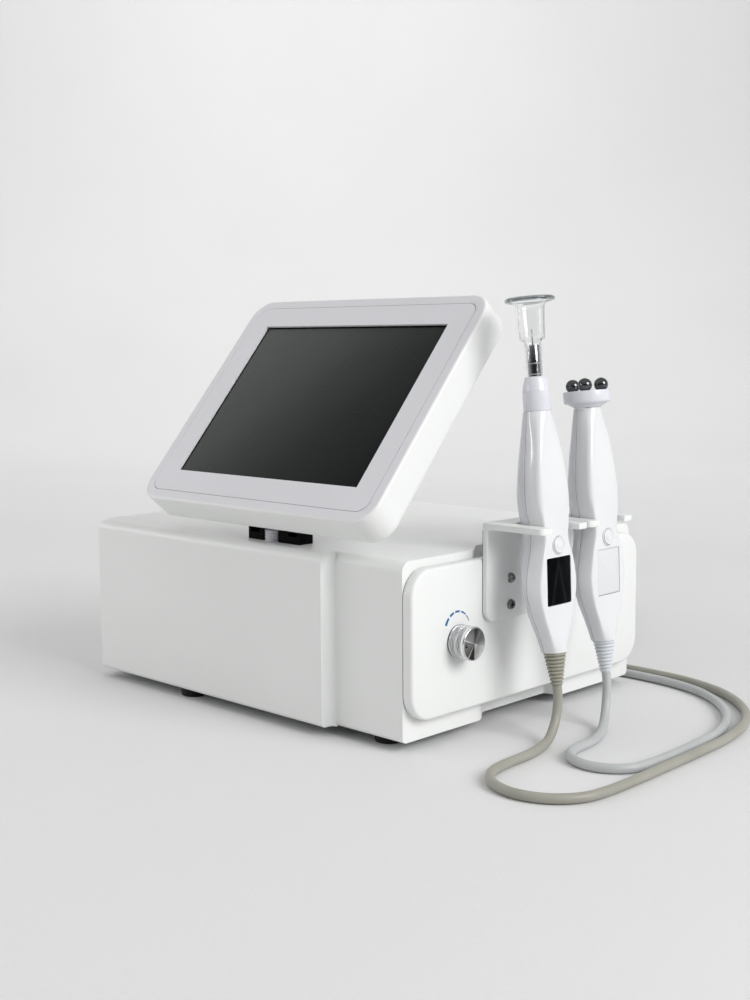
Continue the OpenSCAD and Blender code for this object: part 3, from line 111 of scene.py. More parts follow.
def finish_of(name, size=0.0, depth=0.0, rough=None, tones=None, tone_size=0.06, **settings):
    """A new material. It has bump with grains of size and depth (m), and roughness and colour that
    vary over tone_size (m). Settings are the principled shader's own inputs."""
    material = bpy.data.materials.new(name)
    material.use_nodes = True
    shader = material.node_tree.nodes["Principled BSDF"]
    for key, value in settings.items():
        shader.inputs[key.replace("_", " ")].default_value = value
    if not (depth or rough or tones):
        return material
    place = node(material, "TexCoord", out="Object")
    broad = node(material, "TexNoise", [("Vector", place)], "Fac", Scale=1 / tone_size, Detail=4.0)
    if depth:
        fine = node(material, "TexNoise", [("Vector", place)], "Fac", Scale=1 / size, Detail=3.0)
        feed(material, Normal=node(material, "Bump", [("Height", fine)], "Normal", Distance=depth,
                                   Strength=1.0))
    if rough:
        feed(material, Roughness=node(material, "MapRange", [("Value", broad)], "Result",
                                      To_Min=rough[0], To_Max=rough[1]))
    if tones:
        feed(material, Base_Color=node(material, "ValToRGB", [("Fac", broad)], "Color",
                                       stops=((0.3, tones[0]), (0.7, tones[1]))))
    return material


def placed(obj, body, slot, *instead):
    """Makes the piece ride a body, in place of CAD nodes if any. Its finish slot is not used."""
    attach(obj, body)
    if instead:
        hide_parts(*instead)
    return obj


def ring_of(form, points):
    """A vertex at each point (mm)."""
    return [form.verts.new(Vector(point) * MM) for point in points]


def circle(count):
    """Angles of evenly spaced points round a circle."""
    return [tau * k / count for k in range(count)]


def piece_from(name, form, material, smooth=40):
    """Object of a bmesh, shaded smooth but for edges sharper than that many degrees."""
    mesh = bpy.data.meshes.new(name)
    form.normal_update()
    form.to_mesh(mesh)
    form.free()
    mesh.materials.append(material)
    if smooth:
        mesh.shade_smooth()
        mesh.set_sharp_from_angle(angle=radians(smooth))
    obj = bpy.data.objects.new(name, mesh)
    bpy.context.collection.objects.link(obj)
    return obj


def lofted(name, sections, material, smooth=40, closed=False):
    """Closed body through sections of points (mm), each a ring or one point. The last section
    joins the first if closed."""
    form = bmesh.new()
    rings = [ring_of(form, section) for section in sections]
    for low, high in zip(rings, rings[1:] + rings[:1] if closed else rings[1:]):
        for k in range(max(len(low), len(high))):
            corners = [low[k % len(low)], low[(k + 1) % len(low)],
                       high[(k + 1) % len(high)], high[k % len(high)]]
            form.faces.new(list(dict.fromkeys(corners)))
    for ring in () if closed else (rings[0], rings[-1]):
        if len(ring) > 1:
            form.faces.new(ring)
    bmesh.ops.recalc_face_normals(form, faces=form.faces)
    return piece_from(name, form, material, smooth)


def spline_at(a, b, c, d, t):
    """Value at t, from 0 to 1, between b and c of four in a row on a smooth curve."""
    return 0.5 * (2 * b + (c - a) * t + (2 * a - 5 * b + 4 * c - d) * t * t
                  + (3 * b - a - 3 * c + d) * t ** 3)


def eased(t):
    """Smooth step from 0 to 1."""
    t = min(max(t, 0), 1)
    return t * t * (3 - 2 * t)


def smooth_line(points, spacing=4.0):
    """Points (mm) about spacing apart on a smooth curve through the given ones."""
    given = [Vector(p) for p in points]
    given = [2 * given[0] - given[1]] + given + [2 * given[-1] - given[-2]]
    line = []
    for a, b, c, d in zip(given, given[1:], given[2:], given[3:]):
        steps = max(1, round((c - b).length / spacing))
        line += [spline_at(a, b, c, d, i / steps) for i in range(steps)]
    return line + [given[-2]]


def wound(middle, turns, share, start, way, per_turn=24):
    """Points of a coil (mm): one (radius, height) for each turn, the last turn only in part."""
    points = []
    for i in range(int((len(turns) - 1 + share) * per_turn) + 1):
        turn, part = divmod(i / per_turn, 1)
        here, after = turns[int(turn)], turns[min(int(turn) + 1, len(turns) - 1)]
        step = eased((part - 0.78) / 0.22)  # the last fifth of a turn steps over to the next
        radius, height = (here[k] + (after[k] - here[k]) * step for k in (0, 1))
        angle = radians(start + way * 360 * i / per_turn)
        points.append((middle[0] + radius * cos(angle), middle[1] + radius * sin(angle), height))
    return points


def tube(name, line, radius, material, sides=14):
    """Closed round tube along a line (mm), and its length."""
    side, sections = None, []
    for i, point in enumerate(line):
        ahead = (line[min(i + 1, len(line) - 1)] - line[max(i - 1, 0)]).normalized()
        if side is None:
            side = ahead.orthogonal()
        side = (side - ahead * side.dot(ahead)).normalized()
        other = ahead.cross(side)
        sections.append([point + (side * cos(a) + other * sin(a)) * radius for a in circle(sides)])
    return lofted(name, sections, material), sum((b - a).length for a, b in zip(line, line[1:]))


def turned(name, outline, material, sides=64, smooth=35, closed=False):
    """Body turned round Z from (radius, height) points in mm. A closed outline leaves a hole."""
    return lofted(name, [[(r * cos(a), r * sin(a), z) for a in circle(sides)]
                         if r > 1e-6 else [(0, 0, z)] for r, z in outline], material, smooth, closed)


# The two handpieces hang in their forks, leaning in at the top
LEAN = radians(5.7)
FORK = [Vector((198.3, -26.8, 163)), Vector((201.3, 33.7, 163))]


def on_axis(i, height):
    """Point on handpiece i's axis, at that height above the fork (mm)."""
    return FORK[i] + Vector((-sin(LEAN), 0, cos(LEAN))) * height


# soft PVC: faintly mottled, satin, with a fine drag grain that is drawn coarser than it is
warm_grey_pvc = finish_of(
    "warm_grey_pvc_jacket", 0.0011, 0.00004, (0.36, 0.50), ("9B998F", "A4A299"), 0.03, Roughness=0.42,
    IOR=1.5)
white_pvc = finish_of(
    "white_pvc_jacket", 0.0011, 0.00004, (0.34, 0.48), ("B4B6B7", "BEC0C1"), 0.03, Roughness=0.40, IOR=1.5)

CABLE_R = 3.6
BOOT_END = -120.8  # height of the boot's lower end on the handpiece's axis
ON_TABLE = 3.9  # height of a cable's middle where it lies on the table


def lying(*places):
    """Points (mm) of a cable on the table."""
    return [(x, y, ON_TABLE) for x, y in places]


cable_turns = [(43.6, 3.9), (36.3, 3.9), (36.3, 11.4), (43.6, 11.2)]
vacuum_route = [(212.4, -30.6, 18.4), (215.3, -41, 7.6)] + lying(
    (219.3, -55.1), (225, -80), (227, -112), (232.8, -133.5), (248.5, -149.2), (270, -155), (291.5, -149.2),
    (307.2, -133.5), (313, -112), (314, -70), (313, -30), (312, 10), (310, 50), (302, 90), (286, 125),
    (262, 153), (232, 174), (196, 186), (160, 189.4), (120, 189.4), (80, 189.4), (48, 189.4))
ball_route = [(216.1, 30.3, 18.4), (221.1, 20.7, 7.6)] + lying(
    (227.9, 7.6), (236, -10), (240, -26), (241, -42), (245, -57), (256, -68), (271, -72), (286, -68),
    (297, -57), (301, -42), (302, -15), (301, 20), (298, 55), (288, 90), (270, 120), (246, 145), (216, 163),
    (180, 172), (140, 174), (100, 174), (60, 174), (20, 174), (-20, 177), (-50, 186))
nickel = finish_of(
    "nickel_plated_brass", 0.0006, 0.00001, (0.24, 0.34), Metallic=1.0, Roughness=0.28,
    Base_Color=colour("C9C5BC"))
tie_strap = finish_of(
    "woven_nylon_tie", 0.0008, 0.0001, (0.7, 0.9), Roughness=0.8, Base_Color=colour("26272A"))


def strap(name, middle, height, wide, angle, radius=40):
    """Hook-and-loop tie round a coil: a flat band on its cross-section."""
    sections = []
    for a in circle(28):
        out, up = (copysign(abs(f(a)) ** 0.6, f(a)) for f in (cos, sin))
        sections.append([(out * (wide / 2 + t), s, max(up * (height / 2 + t) + height / 2, 0.4))
                         for s, t in ((-6, 0.1), (6, 0.1), (6, 1.2), (-6, 1.2))])
    obj = lofted(name, sections, tie_strap, closed=True)
    radial = Vector((cos(angle), sin(angle), 0))
    obj.location = (Vector((*middle, 0)) + radial * radius) * MM
    obj.rotation_euler = (0, 0, angle)
    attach(obj, "housing")


PLUG_AT, PLUG_LENGTH, SOCKET_Z = 158.7, 24, 38
for i, (kind, route, middle, exit_x, jacket, jacket_slot, drop) in enumerate((
        ("vacuum", vacuum_route, (22, 233), 61.7, warm_grey_pvc, "warm_grey_pvc", Vector((0, 2.4, -24))),
        ("ball", ball_route, (-78, 233), -38.3, white_pvc, "pale_grey_pvc", Vector((-2.8, 0, -28))))):
    boot_end = on_axis(i, BOOT_END)
    coil = wound(middle, cable_turns, 0.75, -90, -1)
    # the last stretch rises from the coil to the plug
    top = Vector(coil[-1])
    climb = Vector((exit_x, PLUG_AT + PLUG_LENGTH, SOCKET_Z)) - top
    rise = [top + Vector((climb.x * t, climb.y * t, climb.z * (1 - cos(pi * t)) / 2))
            for t in (0.1 * k for k in range(1, 11))]
    line = smooth_line([boot_end, on_axis(i, BOOT_END - 10)] + route + coil + rise)
    cable, cable_length = tube(kind + "_cable_run", line, CABLE_R, jacket)
    # plug: knurled ring and a back shell, pushed into the socket
    plug = turned(kind + "_cable_plug", [(0, 0), (7.2, 0), (7.5, 0.4)] + [
        (7.5 if k % 2 else 7.15, 2 + 0.55 * k) for k in range(18)] + [
        (7.5, 14.2), (6.8, 15), (5.5, 15), (5.4, 22), (4.2, PLUG_LENGTH), (0, PLUG_LENGTH)], nickel, sides=48)
    plug.location = Vector((exit_x, PLUG_AT, SOCKET_Z)) * MM
    plug.rotation_euler = (-pi / 2, 0, 0)
    placed(plug, "housing", "nickel_plated", "cable_plugs")
    strap(kind + "_cable_tie", middle, 15, 16, radians(60))
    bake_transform(cable)
    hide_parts(kind + "_cable", kind + "_cable_coil")


# ---- Mains lead ------------
# Black three core flexible lead: a moulded connector in the inlet, the lead down to the table
# and along behind the machine, its spare length in a tied coil, and a moulded two pin plug.
def made_of(obj, material):
    obj.data.materials.clear()
    obj.data.materials.append(material)
    return obj


black_pvc = finish_of(
    "black_pvc_jacket", 0.0012, 0.00005, (0.42, 0.6), ("17181A", "1F2022"), 0.03, Roughness=0.5, IOR=1.5)
INLET = Vector((-165.3, 156.7, 38))
LEAD_R = 3.5
lead_route = [(-165, 226, 36), (-163.5, 244, 28), (-158, 263, 13), (-147, 280, 4.6)] + lying(
    (-132, 294), (-112, 302.5), (-93, 304.9))
lead_tail = [(-57, 305, 17.0), (-38, 305, 13.0), (-20, 305, 12.0)]
lead_turns = [(53.6, 3.9), (46.4, 3.9), (46.4, 10.9), (53.6, 10.9), (53.6, 18.0), (53.6, 18.0)]
lead_start = INLET + Vector((0, 43, 0))
lead_coil = (-75, 358.6)
line = smooth_line([lead_start, lead_start + Vector((0, 10, 0))] + lead_route
                   + wound(lead_coil, lead_turns, 0.0, -90, 1) + lead_tail)
curve = bpy.data.curves.new("mains_lead_run", "CURVE")
curve.dimensions = "3D"
curve.bevel_depth = LEAD_R * MM
curve.bevel_resolution = 4
spline = curve.splines.new("POLY")
spline.points.add(len(line) - 1)
for point, place in zip(spline.points, line):
    point.co = (*(place * MM), 1)
curve.use_fill_caps = True
lead = bpy.data.objects.new("mains_lead_run", curve)
bpy.context.collection.objects.link(lead)
made_of(lead, black_pvc)
placed(lead, "housing", "black_pvc", "mains_lead", "mains_coil")
strap("mains_lead_tie", lead_coil, 22, 16, radians(200), 50)
made_of(nodes["mains_connector"], black_pvc)
made_of(nodes["mains_plug"], black_pvc)


# ---- Floor, backdrop and light ------------
# A pale sweep whose floor curves up into a wall behind the machine. A broad soft light from the
# right whitens the handpiece side, and the room's even light leaves the front in soft shade.
def arc(u, v, radius, start, step, count):
    """Points of an arc about (u, v), in steps of so many degrees."""
    return [(u + radius * cos(a), v + radius * sin(a))
            for a in (radians(start + step * k) for k in range(count))]


paper = finish_of("backdrop_paper", 0.004, 0.0002, (0.85, 0.95), ("DEDEDE", "E2E2E2"), 0.8, Roughness=0.9)
# the sheet's side view in metres: (distance from the machine, height)
SWEEP_AT, SWEEP_R, HALF_WIDTH = 2.2, 1.6, 7
profile = [(-7.0, 0.0), (SWEEP_AT, 0.0)] + arc(SWEEP_AT, SWEEP_R, SWEEP_R, -90 + 90 / 16, 90 / 16, 16) + [
    (SWEEP_AT + SWEEP_R, 5.0)]
form = bmesh.new()
away = Vector((-sin(yaw), cos(yaw), 0))
edges = [[form.verts.new(away * out + level * side + Vector((0, 0, up)))
          for side in (-HALF_WIDTH, HALF_WIDTH)] for out, up in profile]
for (a, b), (c, d) in zip(edges, edges[1:]):
    form.faces.new((a, b, d, c))
piece_from("backdrop", form, paper)


def softbox(name, place, aim, size, power, tall=None):
    """Soft lamp with a round or an oval face (m), turned to a point; power in watts."""
    lamp = bpy.data.lights.new(name, "AREA")
    lamp.shape, lamp.size, lamp.size_y, lamp.energy = "ELLIPSE", size, tall or size, power
    obj = bpy.data.objects.new(name, lamp)
    obj.location = place
    obj.rotation_euler = (Vector(aim) - Vector(place)).to_track_quat("-Z", "Y").to_euler()
    bpy.context.collection.objects.link(obj)
    return lamp


softbox("window_light_right", (2.6, 0.1, 1.5), (0, 0, 0.15), 1.7, 56)
softbox("window_light_left", (-1.0, -0.75, 0.5), (-0.1, -0.1, 0.12), 0.5, 2.3).color = (1.0, 0.99, 0.98)
softbox("wall_light", (-0.2, 1.2, 2.6), (-1.9, 3.2, 1.5), 1.2, 24)
softbox("wall_light_left", (-1.7, 0.9, 2.7), (-3.5, 2.0, 1.6), 1.2, 26)
# narrow window at the front left, seen as small upright highlights in everything glossy
softbox("strip_light", (-1.16, -1.91, 0.78), (0.19, -0.04, 0.25), 0.08, 2.8, 0.45)
world = bpy.data.worlds.new("pale_room")
world.use_nodes = True
sky = world.node_tree.nodes["Background"]
# the room is pale above and behind, and darker on the side that the machine is looked at from
towards = (sin(yaw) * 0.66, -cos(yaw) * 0.66, -0.75)
facing = node(world, "VectorMath", [(0, node(world, "TexCoord", out="Generated")), (1, towards)], "Value",
              operation="DOT_PRODUCT")
shade = node(world, "MapRange", [("Value", facing)], "Result", From_Min=-0.1, From_Max=0.62, To_Min=0.82,
             To_Max=0.04, interpolation_type="SMOOTHSTEP")
world.node_tree.links.new(shade, sky.inputs["Strength"])
sky.inputs["Color"].default_value = colour("DFE0DF")
bpy.context.scene.world = world
bpy.context.scene.view_settings.view_transform = "Standard"


# ---- Housing ------------
# Injection moulded ABS shell, white, satin, with a front nose, a side section and an upright
# recess in the right side. It drops over a zinc plated base plate and is screwed up from below.

# fine spark-eroded texture of the mould, and tone that varies faintly with wall thickness
white_abs = finish_of(
    "white_satin_abs", 0.0009, 0.000018, (0.34, 0.46), ("E9EAE9", "EDEEED"), 0.11, Roughness=0.38, IOR=1.53,
    Specular_IOR_Level=0.5)


def form_of(name):
    """The CAD node's mesh in the frame's axes (m)."""
    form = bmesh.new()
    form.from_mesh(nodes[name].data)
    form.transform(nodes[name].matrix_world)
    return form


def softened(name, width, material, slot, body, least=6.0, segments=3, sharp=30):
    """Copy of a CAD node with its moulded edges rounded by width (mm). Edges beside faces
    smaller than least (mm2), such as those of holes, stay sharp."""
    form = form_of(name)
    bmesh.ops.remove_doubles(form, verts=form.verts, dist=0.00002)
    bmesh.ops.dissolve_limit(form, angle_limit=radians(0.5), verts=form.verts, edges=form.edges)
    edges = [e for e in form.edges if len(e.link_faces) == 2
             and e.calc_face_angle_signed(0) > radians(sharp)
             and min(f.calc_area() for f in e.link_faces) > least * 1e-6]
    bmesh.ops.bevel(form, geom=edges, offset=width * MM, segments=segments, profile=0.5, affect="EDGES",
                    clamp_overlap=True)
    bmesh.ops.triangulate(form, faces=[f for f in form.faces if len(f.verts) > 4])
    obj = piece_from(name + "_moulded", form, material, 28)
    for polygon in obj.data.polygons:
        polygon.use_smooth = True
    firm = obj.modifiers.new("firm_faces", "WEIGHTED_NORMAL")
    firm.keep_sharp = True
    return placed(obj, body, slot, name)


softened("housing_shell", 2.2, white_abs, "white_gloss_abs", "housing")
zinc = finish_of(
    "zinc_plated_sheet", 0.003, 0.00001, (0.3, 0.5), ("B2B5BA", "C2C5C8"), 0.012, Metallic=1.0,
    Roughness=0.4, Base_Color=colour("B9BCC0"))
rubber = finish_of("black_rubber", 0.0007, 0.00004, (0.78, 0.92), ("141414", "1C1C1D"), 0.01, Roughness=0.85)
made_of(nodes["base_plate"], zinc)
made_of(nodes["rubber_feet"], rubber)


# ---- Side panel and level knob ------------
# White moulded panel with round corners that bridges the recess, and on it the turned aluminium
# knob of the suction level: two knurled bands, a spun face and a three-cornered pointer pit.
def slab(name, outline, low, high, edge, material, steps=5, back=0.0):
    """Plate in the Y-Z plane from X=low to X=high (mm), its rim rounded by edge at the outside and
    cut back at the rear."""
    count = len(outline)
    normals = []
    for i in range(count):
        (y0, z0), (y1, z1) = outline[i - 1], outline[(i + 1) % count]
        length = hypot(y1 - y0, z1 - z0)
        normals.append(((z1 - z0) / length, -(y1 - y0) / length))
    rows = [(back, low), (0.0, low + back)] if back else [(0.0, low)]
    rows += arc(edge, high - edge, edge, 180, -90 / steps, steps + 1)
    return lofted(name, [[(x, y - ny * inset, z - nz * inset) for (y, z), (ny, nz) in zip(outline, normals)]
                         for inset, x in rows], material, 50)


def rounded(y0, y1, z0, z1, radii, steps=12):
    """Outline of a rectangle in Y-Z, with a radius for each corner from (y0, z0) anticlockwise."""
    corners = [(y0, z0, 1, 1, 180), (y1, z0, -1, 1, 270), (y1, z1, -1, -1, 0), (y0, z1, 1, -1, 90)]
    points = []
    for (y, z, sy, sz, start), r in zip(corners, radii):
        r = max(r, 0.01)
        points += arc(y + sy * r, z + sz * r, r, start, 90 / steps, steps + 1)
    return points


PANEL_Y, PANEL_Z, PANEL_R, PANEL_BACK, PANEL_FACE = (-135.3, 156.7), (24, 138), 21, 150.7, 160.3
panel = slab("side_panel_moulded", rounded(*PANEL_Y, *PANEL_Z, [PANEL_R] * 4, 18), PANEL_BACK, PANEL_FACE,
             2.6, white_abs, 6, 0.8)
placed(panel, "housing", "white_gloss_abs", "side_panel")
# painted shadow: flat black for the seams, the gap under the knob and the pointer pit, where shade falls
gap_shadow_black = finish_of(
    "painted_shadow_black", 0.0008, 0.00002, (0.5, 0.7), ("0E0F10", "161718"), 0.01, Roughness=0.6)
# painted shadow: a thin black slab in the seam behind the panel, for the shade in the gap
placed(slab("side_panel_gap_shadow", rounded(PANEL_Y[0] + 0.4, PANEL_Y[1] - 0.4, PANEL_Z[0] + 0.4, PANEL_Z[1] - 0.4,
                                       [PANEL_R - 0.4] * 4, 18), PANEL_BACK + 0.02, 151.5, 0.1, gap_shadow_black, 2),
       "housing", "black_rubber")

aluminium = finish_of(
    "turned_aluminium", Metallic=1.0, Roughness=0.2, Base_Color=colour("E2E3E4"), Anisotropic=0.75)
# lathe marks: fine rings about the axis, drawn coarser than the real ones
rings = node(aluminium, "TexWave", [("Vector", node(aluminium, "TexCoord", out="Object"))], "Fac",
             wave_type="RINGS", rings_direction="Z", Scale=900.0, Distortion=0.6, Detail=1.0)
feed(aluminium,
     Normal=node(aluminium, "Bump", [("Height", rings)], "Normal", Distance=0.000008, Strength=0.5),
     Tangent=node(aluminium, "Tangent", out="Tangent", direction_type="RADIAL", axis="Z"))


def fluted(name, profile, flutes, material, sides_each=6):
    """Body turned round Z from (radius, height, flute depth) in mm."""
    return lofted(name, [[(reach * cos(a), reach * sin(a), z) for a, reach in (
        (a, r - depth * (0.5 + 0.5 * cos(a * flutes))) for a in circle(flutes * sides_each))]
        for r, z, depth in profile], material, 32)


KNOB = Vector((160.8, -83.8, 79))
KNOB_R = 13


def on_shaft(obj, slot, *instead):
    """Sets a piece that is turned round Z on the level knob's shaft."""
    obj.location, obj.rotation_euler = KNOB * MM, (0, pi / 2, 0)
    return placed(obj, "knob", slot, *instead)


profile = [(10.6, 0, 0), (11.4, 0.2, 0), (12.6, 0.7, 0), (KNOB_R, 1.0, 0), (KNOB_R, 1.5, 0), (12.4, 1.7, 0),
           (12.4, 1.9, 0)]
for start in (1.9, 8.0):
    # knurled bands, each of three rows of small blocks
    for row in range(3):
        z = start + 1.4 * row
        profile += [(12.95, z + 0.1, 0.55), (12.95, z + 0.8, 0.55), (12.35, z + 0.85, 0), (12.35, z + 1.4, 0)]
    if start < 5:  # plain rim and groove between the bands
        profile += [(KNOB_R, 6.3, 0), (KNOB_R, 6.9, 0), (12.5, 7.0, 0), (12.5, 7.3, 0), (KNOB_R, 7.4, 0),
                    (KNOB_R, 7.8, 0), (12.4, 7.9, 0)]
profile += [(KNOB_R, 12.4, 0), (KNOB_R, 14.6, 0), (12.5, 15.3, 0), (12.1, 15.5, 0), (1.5, 15.5, 0)]
knob = fluted("level_knob_turned", profile, 44, aluminium)
# painted shade: the floors of the grooves are coloured dark, for the shade that falls in them
shaded_groove_aluminium = finish_of(
    "painted_shade_knob_grooves", 0.0005, 0.00001, (0.4, 0.6), ("242628", "303234"), 0.004, Metallic=1.0,
    Roughness=0.5)
knob.data.materials.append(shaded_groove_aluminium)
for face in knob.data.polygons:
    reach = [knob.data.vertices[k].co.xy.length for k in face.vertices]
    face.material_index = int(max(reach) < 0.0124 and min(reach) > 0.0122)
on_shaft(knob, "turned_aluminium", "level_knob")
# painted shadow: a thin black disc under the knob, for the shade in the gap at its base
on_shaft(turned("level_knob_gap_shadow", [(0, -0.45), (12.5, -0.45), (12.5, 0.35), (0, 0.35)], gap_shadow_black),
         "black_plastic")
spun_face = finish_of("spun_aluminium_face", Metallic=1.0, Roughness=0.24, Anisotropic=0.6)
# painted reflection: the broad light and dark sectors of the turned face's sunburst are painted into its
# colour, with fine radial lines in its roughness
turn = node(spun_face, "TexGradient", [("Vector", node(spun_face, "TexCoord", out="Object"))], "Fac",
            gradient_type="RADIAL")
# (degrees round the face, grey level of the painted reflection)
reflection_sectors = [
    (180, 134), (171, 122), (162, 132), (159, 250), (156, 156), (140, 144), (118, 138), (95, 128), (91, 66),
    (80, 78), (60, 116), (49, 154), (42, 126), (20, 144), (3, 170), (-11, 215), (-18, 255), (-28, 250),
    (-50, 248), (-80, 232), (-90, 210), (-93, 66), (-110, 52), (-122, 82), (-127, 225), (-132, 104),
    (-158, 118)]
painted_sunburst = node(spun_face, "ValToRGB", [("Fac", turn)], "Color", stops=sorted(
    (((angle + 270) % 360) / 360, "%02X" % tone * 3) for angle, tone in reflection_sectors))
spread = node(spun_face, "Math", [(0, turn), (1, 160.0)], 0, operation="MULTIPLY")
lines = node(spun_face, "TexNoise", [("W", spread)], "Fac", noise_dimensions="1D", Scale=1.0, Detail=2.0)
feed(spun_face, Base_Color=painted_sunburst, Roughness=node(
    spun_face, "MapRange", [("Value", lines)], "Result", From_Min=0.3, From_Max=0.7, To_Min=0.16,
    To_Max=0.34))
on_shaft(turned("level_knob_face", [(0, 15.4), (12.0, 15.4), (12.0, 15.5), (11.7, 15.62), (0, 15.56)],
                spun_face, 96), "turned_aluminium")
# three-cornered pointer pit near the rim, drawn as a flat black triangle on the face: painted shade for its
# hollow
pointer = lofted("level_knob_pointer", [[(x, y, z) for y, z in ((-11.0, -1.5), (-9.4, 1.3), (-7.7, -1.7))]
                                        for x in (15.5, 15.72)], gap_shadow_black, 0)
pointer.location = KNOB * MM
placed(pointer, "knob", "black_plastic")

blue_ink, grey_ink = (
    finish_of(name, 0.0005, 0.00001, (0.4, 0.5), tones, 0.004, Roughness=0.45)
    for name, tones in (("blue_screen_print", ("175A8E", "22689C")),
                        ("grey_blue_screen_print", ("566B7A", "637886"))))
# five printed dashes on an arc above the knob, each thinner than the one before
DASHES = ((159, 134), (126.5, 106.5), (100, 79), (71.5, 48), (43.5, 21))  # start and end in degrees
DASH_STEPS, DASH_R, DASH_DEEP, DASH_CENTRE = 8, 14.1, 0.12, Vector((160.36, -84.8, 87.6))
for k, (start, end) in enumerate(DASHES):
    sections = []
    for j in range(DASH_STEPS + 1):
        a = radians(start + (end - start) * j / DASH_STEPS)
        half = 1.2 - 0.17 * (k + j / DASH_STEPS)
        sections.append([
            DASH_CENTRE + Vector((x, (DASH_R + side) * cos(a), (DASH_R + side) * sin(a)))
            for x, side in ((0, -half), (0, half), (-DASH_DEEP, half), (-DASH_DEEP, -half))])
    ink = grey_ink if k == len(DASHES) - 1 else blue_ink
    placed(lofted("level_dash_%d" % (k + 1), sections, ink, 0), "housing", "white_gloss_abs")


# ---- Fork holders ------------
# Two moulded brackets, each an upright plate with a shelf that is slotted for a handpiece, held
# by two chromed pan head screws with cross recesses.
for fork, side in zip(FORK, ("front", "rear")):
    softened(side + "_holder", 0.9, white_abs, "white_gloss_abs", "housing", least=1.6, segments=2)
    # painted shadow: a thin black slab in the seam between the bracket's plate and the panel, for the shade
    # in the gap
    seal = slab(side + "_holder_gap_shadow", rounded(fork.y - 28.8, fork.y + 28.8, 89.2, 160, [8.8, 8.8, 0, 0], 8),
                160.33, 161.2, 0.05, gap_shadow_black, 2)
    placed(seal, "housing", "black_rubber")
chrome_screw = finish_of(
    "chromed_screw", 0.0005, 0.000008, (0.16, 0.34), Metallic=1.0, Roughness=0.22,
    Base_Color=colour("7B7D7F"))
steel_screw = finish_of(
    "zinc_plated_screw", 0.0005, 0.000008, (0.26, 0.42), Metallic=1.0, Roughness=0.32,
    Base_Color=colour("A9ABAD"))


def cross_screw(name, radius, height, material):
    """Pan head with a cross recess: flat-bottomed, its four wings cut down into a round head."""
    sections = []
    for share, rise in ((1, 0), (1, 0.3), (0.93, 0.62), (0.8, 0.86), (0.62, 1), (0.5, 1), (0.4, 1), (0.3, 1),
                        (0.2, 1), (0.1, 1)):
        ring = [(radius * share * cos(a), radius * share * sin(a)) for a in circle(64)]
        # the wings reach out to 0.58 of the radius, are 0.26 of it wide and 0.55 of the height deep
        sections.append([
            (x, y, height * (rise - (0.55 if min(abs(x), abs(y)) < radius * 0.13 and share < 0.58 else 0)))
            for x, y in ring])
    return lofted(name, sections, material, 30)


for i, fork in enumerate(FORK):
    for j, z in enumerate((99.5, 120.5)):
        screw = cross_screw("holder_screw_%d%d" % (i + 1, j + 1), 4, 2.8, chrome_screw)
        screw.location = Vector((164.8, fork.y, z)) * MM
        screw.rotation_euler = (radians(20 + 37 * j + 12 * i), pi / 2, 0)
        placed(screw, "housing", "chromed_fasteners", "holder_screws")


# ---- Screen ------------
# White two-part casing with a lilac grey printed acrylic overlay round the display, on a black
# painted steel arm and hinge block, with its cable in a ribbed sleeve.
overlay_lilac_and_frame_shade = finish_of(
    "lilac_grey_acrylic_and_frame_shade", 0.0006, 0.000006, (0.26, 0.36), ("DFDEE3", "E3E2E7"), 0.08, Roughness=0.3,
    IOR=1.49)
softened("screen_rear_cover", 0.5, white_abs, "white_gloss_abs", "screen", least=8.0, segments=2)
frame_front = softened("screen_front_frame", 0.5, white_abs, "white_gloss_abs", "screen", least=8.0,
                       segments=2)
overlay = softened("screen_overlay", 0.25, overlay_lilac_and_frame_shade, "white_acrylic", "screen", least=0.2, segments=2)
facing_out = max(overlay.data.polygons, key=lambda face: face.area).normal.copy()
if facing_out.dot(back) < 0:
    facing_out.negate()
SCREEN_AXES = (Vector((1, 0, 0)), facing_out.cross(Vector((1, 0, 0))))
# painted shade: the frame's front carries the same lilac grey as the overlay, darker than its white sides,
# for the shade on its front
frame_front.data.materials.append(overlay_lilac_and_frame_shade)
for face in frame_front.data.polygons:
    face.material_index = int(face.normal.dot(facing_out) > 0.9)


def span(points, axis):
    """Middle and half of the points' reach along an axis."""
    reach = [point.dot(axis) for point in points]
    return (max(reach) + min(reach)) / 2, (max(reach) - min(reach)) / 2


def drawn_in(obj, narrower, sunk=0.0):
    """Makes a flat piece of the screen narrower all round and sinks it (mm)."""
    for axis in SCREEN_AXES:
        middle, half = span([v.co for v in obj.data.vertices], axis)
        for v in obj.data.vertices:
            v.co -= axis * ((v.co.dot(axis) - middle) * narrower * MM / half)
    for v in obj.data.vertices:
        v.co -= facing_out * (sunk * MM)


drawn_in(overlay, 0.25)
painted_grey = finish_of(
    "grey_foam_tape", 0.0006, 0.00002, (0.7, 0.9), ("707074", "7A7A7E"), 0.01, Roughness=0.8)
# painted shade: a grey sheet under the overlay, seen as a fine line in the groove round it, stands in for the
# shade in the groove
groove_shade = piece_from("screen_overlay_tape", form_of("screen_overlay"), painted_grey, 0)
drawn_in(groove_shade, -0.35, 0.3)
placed(groove_shade, "screen", "black_rubber")

display = finish_of("display_panel_glass", Roughness=0.24, IOR=1.52, Specular_IOR_Level=0.08)
# switched-off LCD: a milky dark grey with faint smears, and a painted reflection that darkens it towards its
# lower right
corners = [v.co for v in overlay.data.vertices]
outer = [(axis, *span(corners, axis)) for axis in SCREEN_AXES]
# the corners of the overlay's opening lie more than 8 mm inside its outline
inner = [c for c in corners if all(abs(c.dot(axis) - middle) < half - 0.008 for axis, middle, half in outer)]
opening = [(axis, *span(inner, axis)) for axis in SCREEN_AXES]


